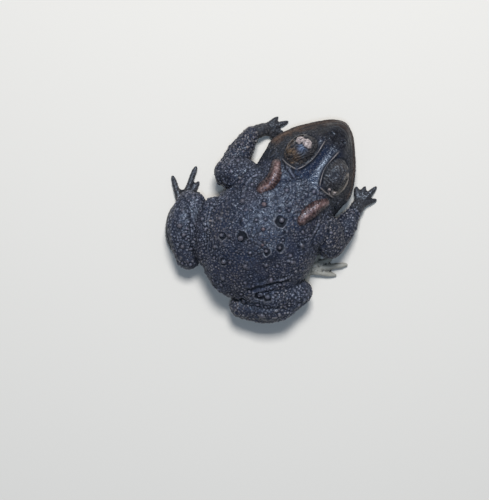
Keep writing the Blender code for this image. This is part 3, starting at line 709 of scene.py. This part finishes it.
def add_crests(skin, tree):
    """Thin, sharp ridges of bone between and behind the eyes."""
    for side in (1, -1):
        for height, knots in CRESTS:
            fine = smooth_curve([(side * x, behind) for x, behind in knots], 14)
            gap, along = distance_to_line(skin.points, [on_head(tree, x, b) for x, b in fine])
            reach = tapered(along, 0.36)
            crest = ring(gap, 0, CREST_WIDTH) * reach
            skin.raise_by(height * crest + ring(gap, *CREST_GROOVE) * reach)
            skin.mark("crest", crest)
            skin.mark("beside_crest", ring(gap, *CREST_SHADE) * reach)


def add_nostrils(skin, tree):
    """A small hole with a raised edge on each side of the snout."""
    for side in (1, -1):
        middle = np.array(on_head(tree, side * NOSTRIL[0], NOSTRIL[1]))
        gap = lengths(skin.points - middle)
        skin.raise_by(ring(gap, *NOSTRIL_RIM) - NOSTRIL_DEPTH * bump(gap, NOSTRIL_RADIUS))
        # The nostril's mask darkens it with painted shade
        skin.mark("nostril", bump(gap, NOSTRIL_SHADE))


def add_folds(skin, tree):
    """Wandering ridges where loose skin is drawn up, and furrows where it is tucked in."""
    noise.seed_set(FOLD_SEED)
    wander = FOLD_WANDER * np.array([noise.noise_vector(Vector(p) * 0.30) for p in skin.base])
    for height, width, knots in SKIN_FOLDS:
        line = [plumb(tree, x, y) for x, y in smooth_curve(knots, 12)]
        gap, along = distance_to_line(skin.points + wander, line)
        reach = tapered(along, 0.3)
        profile = ring(gap, 0, width) - ring(gap, 2.1 * width, 0.8 * width, 0.5)
        skin.raise_by(height * profile * reach)
        # A furrow's mask darkens it with painted shade
        skin.mark("fold" if height > 0 else "furrow", ring(gap, 0, 0.6 * width) * reach)


def eye_axes(side):
    """Where the eye looks, the way along the slit of its lids, and up across it."""
    aim = roll_direction(to_side(EYE_AIM, side))
    along = Vector((0, 0, 1)).cross(aim).normalized()
    return aim, along, aim.cross(along)


def from_eye(skin, middles, side):
    """Where every point lies from the middle of an eye or a lid."""
    return skin.points - np.array(roll_head(to_side(middles[side], side)))


def lid_wrinkles(skin, side, warp):
    """Waves from -1 to 1 across a lid."""
    x_share, y_share, waver, spacing = LID_WRINKLES[side]
    across, back, _ = from_eye(skin, LID_CENTRE, side).T
    return np.sin(2 * math.pi * (x_share * across + y_share * back + waver * warp) / spacing)


def add_lids(skin, tree):
    """Thick rims round each slit, a moat between each lid and the crown, and each lid's own skin."""
    lids = {}
    for side in (1, -1):
        aim, along, up = eye_axes(side)
        offset = from_eye(skin, EYE_CENTRE, side)
        u, v, ahead = (offset @ np.array(way) for way in (along, up, aim))
        radial = np.sqrt((u / APERTURE[0]) ** 2 + (v / APERTURE[1]) ** 2)
        outer = fade(ahead, 0.2, 1.4) * (lengths(offset) < 9)
        for lid_ring in LID_RINGS:
            skin.raise_by(ring(radial, *lid_ring) * outer)
        skin.mark("lid_rim", ring(radial, *LID_RIM_SHADE) * outer)
        radii = np.array(LID_RADII[side]) * 1.1
        reach = lengths(from_eye(skin, LID_CENTRE, side) / radii)
        # The moat's mask darkens it with painted shade
        moat = ring(reach, *MOAT) * fade(skin.normals[:, 2], 0.1, 0.5)
        skin.raise_by(-MOAT_DEPTH * moat)
        skin.mark("moat", moat)
        lids[side] = fade(reach, 1.12, 0.97)
        skin.mark("lid", lids[side])
    skin.masks["lid_left"] = lids[1]
    warp = noise_at(skin.base, 0.55)
    facing_up = fade(skin.normals[:, 2], 0.2, 0.6)
    add_left_lid(skin, lids[1], facing_up, warp)
    add_right_lid(skin, tree, lids[-1] * facing_up, warp)


def add_left_lid(skin, lid, facing_up, warp):
    """The left lid's swells and slanting wrinkles with painted shade in their troughs, and where it is
    golden and where it gets a painted bluish sheen.
    """
    across, back, _ = from_eye(skin, LID_CENTRE, 1).T
    wrinkles = lid_wrinkles(skin, 1, warp)
    skin.raise_by(LEFT_LID_SWELL * np.clip(warp, 0, 1) * lid)
    skin.raise_by(LID_WRINKLE_HEIGHT * wrinkles * lid * facing_up)
    skin.masks["lid_gold"] = lid * fade(0.5 * across + 0.8 * back, 0.2, 3.2)
    skin.masks["lid_blue_sheen"] = lid * np.exp(-((across - 0.2) ** 2 + (back + 0.6) ** 2) / 2.6)
    skin.masks["lid_crease"] = fade(wrinkles, -0.2, -0.9) * lid * facing_up


def add_right_lid(skin, tree, top, warp):
    """The right lid's dented and wrinkled top with painted shade in the dent, and the pale fold along its
    outer edge.
    """
    across, back, _ = from_eye(skin, LID_CENTRE, -1).T
    wrinkles = lid_wrinkles(skin, -1, warp)
    dent = top * np.exp(-(across / 2.2) ** 2 - ((back - 0.4) / 2.6) ** 2)
    skin.raise_by(LID_WRINKLE_HEIGHT * wrinkles * top - RIGHT_LID_DENT * dent)
    gap, along = distance_to_line(skin.points, [plumb(tree, x, y) for x, y in smooth_curve(LID_EDGE, 14)])
    reach = tapered(along, 0.40)
    skin.raise_by(ring(gap, 0, LID_EDGE_WIDTH, LID_EDGE_HEIGHT) * reach)
    skin.masks["lid_edge"] = ring(gap, 0, 1.1 * LID_EDGE_WIDTH) * reach
    skin.masks["lid_dent"] = dent * (0.6 + 0.4 * wrinkles)


def add_tympana(skin, tree):
    """The round eardrums, each a shallow dish inside a low ring."""
    width = curve_at(HEAD_HALF_WIDTH, TYMPANUM_BEHIND_SNOUT)
    for side in (1, -1):
        level = (side * width, SNOUT_Y + TYMPANUM_BEHIND_SNOUT, TYMPANUM_HEIGHT)
        middle = tree.find_nearest(roll_head(level))[0]
        gap = lengths(skin.points - np.array(middle))
        skin.raise_by(ring(gap, *TYMPANUM_RIM) - TYMPANUM_DEPTH * bump(gap, 0.8 * TYMPANUM_RADIUS))


def add_pale_lumps(skin, tree):
    """Pale, swollen lumps of skin round the eyes, flat on top and a little uneven."""
    mask = np.zeros(len(skin.points))
    for x, y, radius, height in PALE_LUMPS:
        near, offset = skin.around(np.array(plumb(tree, x, y)), 2 * radius)
        gap = lengths(offset) * (1 + 0.25 * noise_at(skin.points[near], 0.7))
        skin.relief[near] += height * fade(gap, 1.15 * radius, 0.45 * radius)
        mask[near] = np.maximum(mask[near], fade(gap, 1.1 * radius, 0.8 * radius))
    skin.masks["lump"] = mask
    skin.masks["lid_crease"] *= 1 - mask


def add_pitted_warts(skin, tree):
    """Large warts: domes, some of which stand in a lopsided pit darkened with painted shade, with a low rim
    that gets a painted highlight.
    """
    draw = np.random.default_rng(3)
    masks = {name: np.zeros(len(skin.points)) for name in ("wart", "pit", "pit_rim", "red")}
    for x, y, radius, reach in PITTED_WARTS:
        near, offset = skin.around(np.array(plumb(tree, x, y)), 2.2 * reach)
        gap = lengths(offset)
        turn = draw.uniform(0, 2 * math.pi)
        side = 0.20 * reach * np.array((math.cos(turn), math.sin(turn), 0))
        wobble = 1 + 0.30 * noise_at(skin.points[near], 0.7)
        outer = lengths(offset - side) * wobble
        pit = fade(gap, 0.80 * radius, 1.10 * radius) * fade(outer, 1.10 * reach, 0.80 * reach)
        rim = ring(outer, 1.12 * reach, 0.28) * fade(offset @ side, -0.25 * reach, 0.2 * reach)
        share = 0.2 + 0.8 * fade(np.array([reach - radius]), 0.35, 0.7)
        swelling = 0.26 * radius * bump(gap, 1.05 * radius)
        depth = PIT_DEPTH_SHARE * (reach - radius) * share
        skin.relief[near] += swelling - depth * pit + PIT_RIM_HEIGHT * rim * share
        dome = fade(gap, 0.9 * radius, 0.35 * radius)
        shares = {"wart": dome, "pit": pit * share, "pit_rim": rim * share}
        if (x, y) in RED_WARTS:
            shares["red"] = dome
        for name, mask in shares.items():
            masks[name][near] = np.maximum(masks[name][near], mask)
    skin.masks.update(masks)


def region_masks(skin):
    """Where the limbs, glands, head, toes and belly are, each soft at its edges."""
    masks = skin.masks
    x, y, z = skin.base.T
    masks["limb"] = skin.of_nodes("upper_arm", "forearm", "hand", "thigh", "shank", "foot")
    # The hind legs, which the colour lightens with painted light
    masks["hind"] = skin.of_nodes("thigh", "shank", rounds=20)
    masks["digit"] = skin.of_nodes("hand", "foot", rounds=14)
    # The right foot's toes and sole, lightened partly by their own colour and partly by painted light
    masks["pale_foot"] = skin.of_nodes("foot_right", rounds=14) * fade(y, 25.5, 19.5)
    ragged = 0.40 * noise_at(skin.base, 0.8)
    masks["gland"] = fade(skin.of_nodes("parotoid", rounds=14) + ragged, 0.34, 0.66)
    masks["head"] = skin.of_nodes("head", rounds=30)
    masks["belly"] = fade(skin.normals[:, 2], -0.15, -0.7) * (1 - masks["digit"])
    flank = fade(np.abs(x - BODY_X), 7.0, 17.0)
    rump = fade(y, 18.0, 30.0)
    middle_back = (1 - np.maximum(flank, 0.8 * rump)) * (1 - masks["head"]) * (1 - masks["limb"])
    crown = fade(skin.normals[:, 2], 0.45, 0.85) * masks["head"]
    bare = np.clip(masks["gland"] + masks["lump"] + 0.7 * masks["lid_rim"] + 0.5 * masks["lip"], 0, 1)
    granular = 0.95 - 0.35 * middle_back
    granular += (0.55 - 0.30 * crown - granular) * masks["head"]
    granular += (1.0 - granular) * masks["limb"]
    granular += (0.35 - granular) * masks["digit"] * fade(z, 3.6, 2.0)
    granular *= (1 - 0.5 * masks["belly"]) * (1 - bare) * (1 - 0.6 * masks["lid"])
    from_middle = np.abs(x - HEAD_X)
    # The up-facing top of the head, which gets a painted bluish sheen in the colour
    masks["crown"] = crown * (1 - masks["lid"]) * fade(from_middle, 6.5, 3.5)
    # The head's sides, darkened partly as their own colour and partly with painted shade
    masks["cheek"] = masks["head"] * (1 - masks["lid"]) * (1 - 0.8 * fade(from_middle, 8.0, 4.5))
    masks["snout"] = masks["head"] * fade(y, SNOUT_Y + 14.0, SNOUT_Y + 7.0)
    masks["granular"] = np.clip(granular, 0, 1)
    masks["coarse"] = granular * np.clip(0.6 * masks["limb"] + flank - masks["digit"], 0, 1)
    masks["rough"] = np.maximum.reduce([masks["limb"], 0.8 * rump, 0.7 * flank]) * (1 - masks["head"])
    masks["grainy"] = (1 - 0.85 * bare) * (1 - 0.3 * masks["head"])
    wet = 0.92 * crown * (1 - masks["lid"]) + 0.25 * masks["lid_left"] - 0.2 * masks["snout"]
    masks["wet"] = np.clip(wet + 0.3 * masks["limb"] + 0.75 * masks["gland"], 0, 1)


def find_knobs(skin):
    """Where the small warts of the solids stand out, which are kept smooth and raised a little."""
    smooth = relaxed(skin.base, skin.edges, KNOB_ROUNDS)
    height = np.einsum("ij,ij->i", skin.base - smooth, skin.normals)
    masks = skin.masks
    plain = (1 - masks["head"]) * (1 - masks["digit"]) * (1 - masks["gland"])
    masks["knob"] = fade(height, 0.09, 0.19) * plain
    skin.raise_by(KNOB_HEIGHT * masks["knob"])


def add_small_warts(skin):
    """Small, smooth warts strewn between the large ones, each in a faint ring darkened with painted shade.
    """
    draw = np.random.default_rng(23)
    taken = np.maximum.reduce([skin.masks[name] for name in TAKEN])
    picked = spread(skin.base, SMALL_WART_SPACING, draw)
    present = (1 - fade(taken[picked], 0.05, 0.3)) * (draw.random(len(picked)) < SMALL_WART_SHARE)
    present *= fade(skin.normals[picked, 2], -0.1, 0.3)
    radius = draw.uniform(*SMALL_WART_RADIUS, len(picked))
    gap, which = nearest(skin.base, skin.base[picked])
    size, there = radius[which], present[which]
    dome = SMALL_WART_HEIGHT * size * bump(gap, 1.15 * size)
    skin.raise_by(there * (dome - ring(gap, 1.45 * size, 0.25, 0.10)))
    skin.masks["small_wart"] = there * fade(gap, 0.95 * size, 0.4 * size)
    skin.masks["wart_ring"] = there * ring(gap, 1.35 * size, 0.24)


def add_granules(skin):
    """Grains of several sizes side by side, strong on the limbs and flanks and faint on the crown."""
    draw = np.random.default_rng(11)
    patch = noise_at(skin.base, 0.16, (0, 30, 0))
    warts = np.maximum.reduce([skin.masks[name] for name in ("wart", "knob", "small_wart")])
    smooth = np.maximum(0.9 * skin.masks["pit"], 0.8 * warts)
    plenty = (0.62 + 0.38 * fade(patch, -0.25, 0.2)) * (1 - smooth)
    paler = (0.60 + 0.40 * skin.masks["rough"]) * (1 - 0.6 * skin.masks["digit"])
    for spacing, radius, height, where in GRANULES:
        weight = skin.masks[where] * plenty
        centres = skin.base[spread(skin.base, spacing, draw)]
        gap, which = nearest(skin.base, centres)
        size = radius * draw.uniform(*GRAIN_SIZES, len(centres))[which]
        strength = draw.uniform(*GRAIN_STRENGTHS, len(centres))[which]
        skin.raise_by(height * weight * peak(gap, size) * strength)
        # The tips' mask gives them a pale colour, partly their own and partly a painted highlight
        skin.mark("tip", fade(strength, 0.25, 1.1) * bump(gap, 0.85 * size) * weight * paler)


def add_unevenness(skin):
    """Slow swells and fine wrinkles all over, so that no stretch is smooth as plastic, and a net of creases
    darkened with painted shade.
    """
    slow = noise_at(skin.base, 0.28)
    fine = noise_at(skin.base, 1.3, (40, 0, 0))
    net = noise_at(skin.base, 0.55, (0, 0, 17))
    masks = skin.masks
    plain = (1 - masks["gland"]) * (1 - masks["lid"]) * (1 - np.maximum(masks["wart"], masks["small_wart"]))
    plain *= (1 - 0.8 * masks["digit"]) * (1 - 0.7 * masks["head"]) * (1 - 0.6 * masks["belly"])
    masks["crease"] = fade(np.abs(net), 0.13, 0.02) * plain
    skin.raise_by(SWELL_HEIGHT * slow * (1 - 0.6 * masks["head"]) + WRINKLE_HEIGHT * fine)
    skin.raise_by(-CREASE_DEPTH * masks["crease"])


def add_gland_skin(skin):
    """Shallow wrinkles across the glands, a painted highlight along each gland's top, and pores darkened
    with painted shade.
    """
    draw = np.random.default_rng(5)
    gland = skin.masks["gland"]
    x = skin.base[:, 0]
    flat = skin.base * (1, 1, 0)
    for side in (1, -1):
        gap, along = distance_to_line(flat, [(*place, 0) for place in smooth_curve(PAROTOID[side], 16)])
        on_side = gland * (x * side > 0)
        waves = noise_at(np.column_stack((GLAND_WAVES * along, 0.8 * x, np.full(len(x), 3 * side))), 1)
        skin.raise_by(GLAND_WAVE_HEIGHT * waves * on_side)
        skin.mark("gland_top", ring(gap, 0, 0.9) * on_side)
        skin.mark("gland_stripe", fade(waves, 0.05, 0.35) * on_side)
    pores = skin.base[spread(skin.base, PORE_SPACING, draw)]
    gap, _ = nearest(skin.base, pores)
    skin.raise_by(-PORE_DEPTH * bump(gap, PORE_RADIUS) * gland)
    skin.masks["pore"] = bump(gap, 0.40) * gland


def hollows(skin):
    """How far each place lies under or over its surroundings, at the size of grains and of limbs, as masks
    for painted shade in hollows and seams and a painted highlight on raised places.
    """
    smooth = relaxed(skin.points, skin.edges, GRAIN_ROUNDS)
    height = np.einsum("ij,ij->i", skin.points - smooth, skin.normals)
    skin.masks["cavity"] = fade(height, 0.01, -0.10)
    skin.masks["height"] = fade(height, 0.02, 0.16)
    broad = relaxed(smooth, skin.edges, LIMB_ROUNDS)
    depth = np.einsum("ij,ij->i", smooth - broad, skin.normals)
    skin.masks["seam"] = fade(depth, -0.12, -0.75) * (1 - 0.85 * skin.masks["pale_foot"])


def finish_skin(skin):
    """Writes the masks that the colour needs and the final points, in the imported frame, to the mesh."""
    for name, mask in skin.masks.items():
        if name not in SHAPING_ONLY:
            attribute = skin.mesh.attributes.new(name, "FLOAT", "POINT")
            attribute.data.foreach_set("value", np.clip(mask, 0, 1).astype(np.float32))
    skin.points[:, 2] = np.maximum(skin.points[:, 2], 0.0)
    placed = (skin.points + np.array(SHIFT)) * MM
    skin.mesh.vertices.foreach_set("co", placed.astype(np.float32).ravel())
    skin.mesh.update()
    skin.mesh.shade_smooth()


def make_skin():
    skin = Skin()
    tree = skin.surface_tree()
    add_mouth(skin, tree)
    add_crests(skin, tree)
    add_nostrils(skin, tree)
    add_lids(skin, tree)
    add_tympana(skin, tree)
    add_pale_lumps(skin, tree)
    add_folds(skin, tree)
    add_pitted_warts(skin, tree)
    region_masks(skin)
    find_knobs(skin)
    add_small_warts(skin)
    add_unevenness(skin)
    add_gland_skin(skin)
    add_granules(skin)
    skin.apply_relief()
    hollows(skin)
    finish_skin(skin)
    return skin


class Look:
    """Short names for the nodes that a material is made of."""

    def __init__(self, name):
        self.material = bpy.data.materials.new(name)
        self.material.use_nodes = True
        self.tree = self.material.node_tree
        self.shader = self.tree.nodes["Principled BSDF"]
        self.place = self.tree.nodes.new("ShaderNodeTexCoord").outputs["Object"]

    def put(self, node, name, value):
        """Links a socket to a node's input, or sets it to a number or a colour of three parts."""
        if isinstance(value, bpy.types.NodeSocket):
            self.tree.links.new(value, node.inputs[name])
        elif isinstance(value, tuple):
            node.inputs[name].default_value = (*value, 1)
        else:
            node.inputs[name].default_value = value

    def set(self, name, value):
        self.put(self.shader, name, value)

    def mask(self, name):
        node = self.tree.nodes.new("ShaderNodeAttribute")
        node.attribute_name = name
        return node.outputs["Fac"]

    def mix(self, factor, one, other):
        node = self.tree.nodes.new("ShaderNodeMixRGB")
        self.put(node, "Fac", factor)
        self.put(node, "Color1", one)
        self.put(node, "Color2", other)
        return node.outputs["Color"]

    def math(self, operation, one, other, clamp=False):
        node = self.tree.nodes.new("ShaderNodeMath")
        node.operation = operation
        node.use_clamp = clamp
        self.put(node, 0, one)
        self.put(node, 1, other)
        return node.outputs[0]

    def times(self, one, other):
        return self.math("MULTIPLY", one, other)

    def scaled(self, value, low, high, start=0.0, end=1.0):
        """value moved from the range low to high to the range start to end, and kept in it."""
        node = self.tree.nodes.new("ShaderNodeMapRange")
        names = ("Value", "From Min", "From Max", "To Min", "To Max")
        for name, number in zip(names, (value, low, high, start, end)):
            self.put(node, name, number)
        return node.outputs["Result"]

    def texture(self, kind, size_mm):
        node = self.tree.nodes.new(kind)
        self.put(node, "Vector", self.place)
        self.put(node, "Scale", 1 / (size_mm * MM))
        return node

    def noise(self, size_mm, detail=3.0):
        node = self.texture("ShaderNodeTexNoise", size_mm)
        self.put(node, "Detail", detail)
        return node.outputs["Fac"]

    def cells(self, size_mm):
        return self.texture("ShaderNodeTexVoronoi", size_mm).outputs["Distance"]

    def bumps(self, height, depth_mm, under=None):
        node = self.tree.nodes.new("ShaderNodeBump")
        self.put(node, "Height", height)
        self.put(node, "Distance", depth_mm * MM)
        self.put(node, "Strength", 0.5)
        if under is not None:
            self.put(node, "Normal", under)
        return node.outputs["Normal"]

    def pattern(self, name):
        size, detail, low, high = PATTERNS[name]
        return self.scaled(self.noise(size, detail), low, high)

    def blend(self, name, one, other):
        return self.mix(self.pattern(name), one, other)

    def where(self, words):
        """The product of the masks and patterns that the words name."""
        parts = [self.pattern(word) if word in PATTERNS else self.mask(word) for word in words.split()]
        product = parts[0]
        for part in parts[1:]:
            product = self.times(product, part)
        return product

    def layered(self, colour, *layers):
        """The colour with the layers laid over it, each of them words, a share and a colour."""
        for words, share, added in layers:
            colour = self.mix(self.times(self.where(words), share), colour, added)
        return colour


def skin_look():
    """Dark, damp skin with pale grains and warts, reddish glands and a pale belly, with painted shade in
    its hollows and painted highlights and sheen on grains, glands and the crown.
    """
    look = Look("toad_skin")
    colour = look.layered(look.blend(*SKIN_COLOURS), *SKIN_LAYERS)
    gland = look.layered(look.blend(*GLAND_COLOURS), *GLAND_LAYERS)
    colour = look.mix(look.scaled(look.mask("gland"), 0.3, 0.7), colour, gland)
    colour = look.layered(colour, ("belly", 0.9, look.blend(*BELLY_COLOURS)))
    colour = look.layered(colour, ("tip", 0.9, look.blend(*GRAIN_COLOURS)), *WART_LAYERS)
    colour = look.layered(colour, ("lump", 0.9, look.blend(*LUMP_COLOURS)))
    # Painted shade in hollows, grooves, pits, pores, creases and seams
    dark = 0.0
    for name, share in PAINTED_SHADE_PLACES:
        dark = look.math("MAXIMUM", dark, look.times(look.mask(name), share))
    look.set("Base Color", look.mix(look.times(dark, 0.94), colour, PAINTED_SHADE_COLOUR))
    uneven = look.scaled(look.noise(0.9), 0.3, 0.7, -0.2, 0.2)
    gloss = look.scaled(look.math("ADD", look.mask("wet"), uneven), 0.0, 1.0, *DRY_TO_WET)
    off_crown = look.scaled(look.mask("crown"), 0.0, 1.0, 1.0, 0.3)
    patches = look.scaled(look.noise(1.5, 2.0), 0.42, 0.58, ROUGHER_PATCHES, 0.0)
    dull = look.math("ADD", look.times(dark, ROUGHER_IN_SHADE), look.times(look.mask("cheek"), ROUGHER_CHEEK))
    dull = look.math("ADD", dull, look.times(patches, off_crown))
    look.set("Roughness", look.math("ADD", gloss, dull, clamp=True))
    look.set("Specular IOR Level", 0.37)
    look.set("Specular Tint", (0.66, 0.80, 1.0))
    grains = look.bumps(look.cells(0.34), 0.06)
    look.set("Normal", look.bumps(look.noise(0.16, 2.0), 0.03, grains))
    return look.material


def eye_look():
    """A dark, gold-flecked iris round a level, oval pupil, under a wet surface."""
    look = Look("toad_eye")
    split = look.tree.nodes.new("ShaderNodeSeparateXYZ")
    look.put(split, "Vector", look.place)
    u = look.math("DIVIDE", split.outputs["X"], PUPIL[0] * MM)
    v = look.math("DIVIDE", split.outputs["Y"], PUPIL[1] * MM)
    pupil_reach = look.math("ADD", look.times(u, u), look.times(v, v))
    pupil = look.scaled(pupil_reach, 1.1, 0.95)
    rim = look.times(look.scaled(pupil_reach, 1.55, 1.35), look.scaled(pupil_reach, 1.0, 1.2))
    flecks = look.scaled(look.cells(0.16), 0.28, 0.14)
    veins = look.scaled(look.noise(0.5, 4.0), 0.5, 0.6)
    gold = look.times(look.math("MAXIMUM", flecks, veins), 0.75)
    colour = look.mix(gold, (0.030, 0.018, 0.009), (0.52, 0.33, 0.10))
    colour = look.mix(rim, colour, (0.60, 0.42, 0.14))
    colour = look.mix(pupil, colour, (0.002, 0.002, 0.003))
    edge = look.scaled(split.outputs["Z"], 1.9 * MM, 1.2 * MM)
    colour = look.mix(edge, colour, (0.012, 0.010, 0.010))
    look.set("Base Color", colour)
    look.set("Roughness", 0.30)
    look.set("Specular IOR Level", 0.15)
    look.set("Coat Weight", 0.8)
    look.set("Coat Roughness", 0.03)
    return look.material


def make_eye(side, name, look):
    """An eyeball with a slightly fuller cornea, its +Z pointing where it looks."""
    shape = bmesh.new()
    bmesh.ops.create_uvsphere(shape, u_segments=64, v_segments=40, radius=EYE_RADIUS * MM)
    for vert in shape.verts:
        middle = max(0.0, vert.co.z / (EYE_RADIUS * MM) - 0.72) / 0.28
        vert.co.z += CORNEA_RISE * MM * middle * middle * (3 - 2 * middle)
    mesh = bpy.data.meshes.new(name)
    shape.to_mesh(mesh)
    shape.free()
    mesh.shade_smooth()
    mesh.materials.append(look)
    eye = new_object(name, mesh)
    aim, along, up = eye_axes(side)
    place = (roll_head(to_side(EYE_CENTRE[side], side)) + SHIFT) * MM
    eye.matrix_world = Matrix.Translation(place) @ Matrix((along, up, aim)).transposed().to_4x4()
    return eye


def place_skin():
    skin = make_skin()
    skin.mesh.materials.clear()
    skin.mesh.materials.append(skin_look())
    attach(skin.obj, "root")
    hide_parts(*FLESH)


def place_eyes():
    look = eye_look()
    for side, word in ((1, "left"), (-1, "right")):
        eye = make_eye(side, f"eyeball_{word}", look)
        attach(eye, "root")
        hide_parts(f"eye_{word}")


def make_floor():
    shape = bmesh.new()
    bmesh.ops.create_grid(shape, x_segments=1, y_segments=1, size=FLOOR_SIZE)
    mesh = bpy.data.meshes.new("floor")
    shape.to_mesh(mesh)
    shape.free()
    floor = new_object("floor", mesh)
    look = Look("pale_floor")
    look.set("Base Color", FLOOR_COLOUR)
    look.set("Roughness", 0.8)
    mesh.materials.append(look.material)


def make_camera():
    """Straight above, at the photograph's framing, with the toad's head to the upper right."""
    camera = new_object("camera", bpy.data.cameras.new("camera"))
    camera.data.sensor_width = SENSOR
    camera.data.lens = SENSOR * CAMERA_HEIGHT / FRAME_HEIGHT
    middle = Vector(FRAME_MIDDLE) + SHIFT
    camera.location = (middle.x * MM, middle.y * MM, (CAMERA_HEIGHT + FRAME_PLANE) * MM)
    camera.rotation_euler = (0, 0, math.atan2(-IMAGE_UP[0], IMAGE_UP[1]))
    bpy.context.scene.camera = camera


def make_light(name, place, size, energy, colour):
    lamp = new_object(name, bpy.data.lights.new(name, "AREA"))
    lamp.data.size = size
    lamp.data.energy = energy
    lamp.data.color = colour
    lamp.location = place
    lamp.rotation_euler = (-Vector(place)).to_track_quat("-Z", "Y").to_euler()


def make_studio():
    for light in LIGHTS:
        make_light(*light)
    world = bpy.data.worlds.new("world")
    bpy.context.scene.world = world
    world.use_nodes = True
    background = world.node_tree.nodes["Background"]
    background.inputs["Color"].default_value = SKY_COLOUR
    background.inputs["Strength"].default_value = SKY_STRENGTH
    bpy.context.scene.view_settings.view_transform = "Standard"


place_skin()
place_eyes()
make_floor()
make_camera()
make_studio()
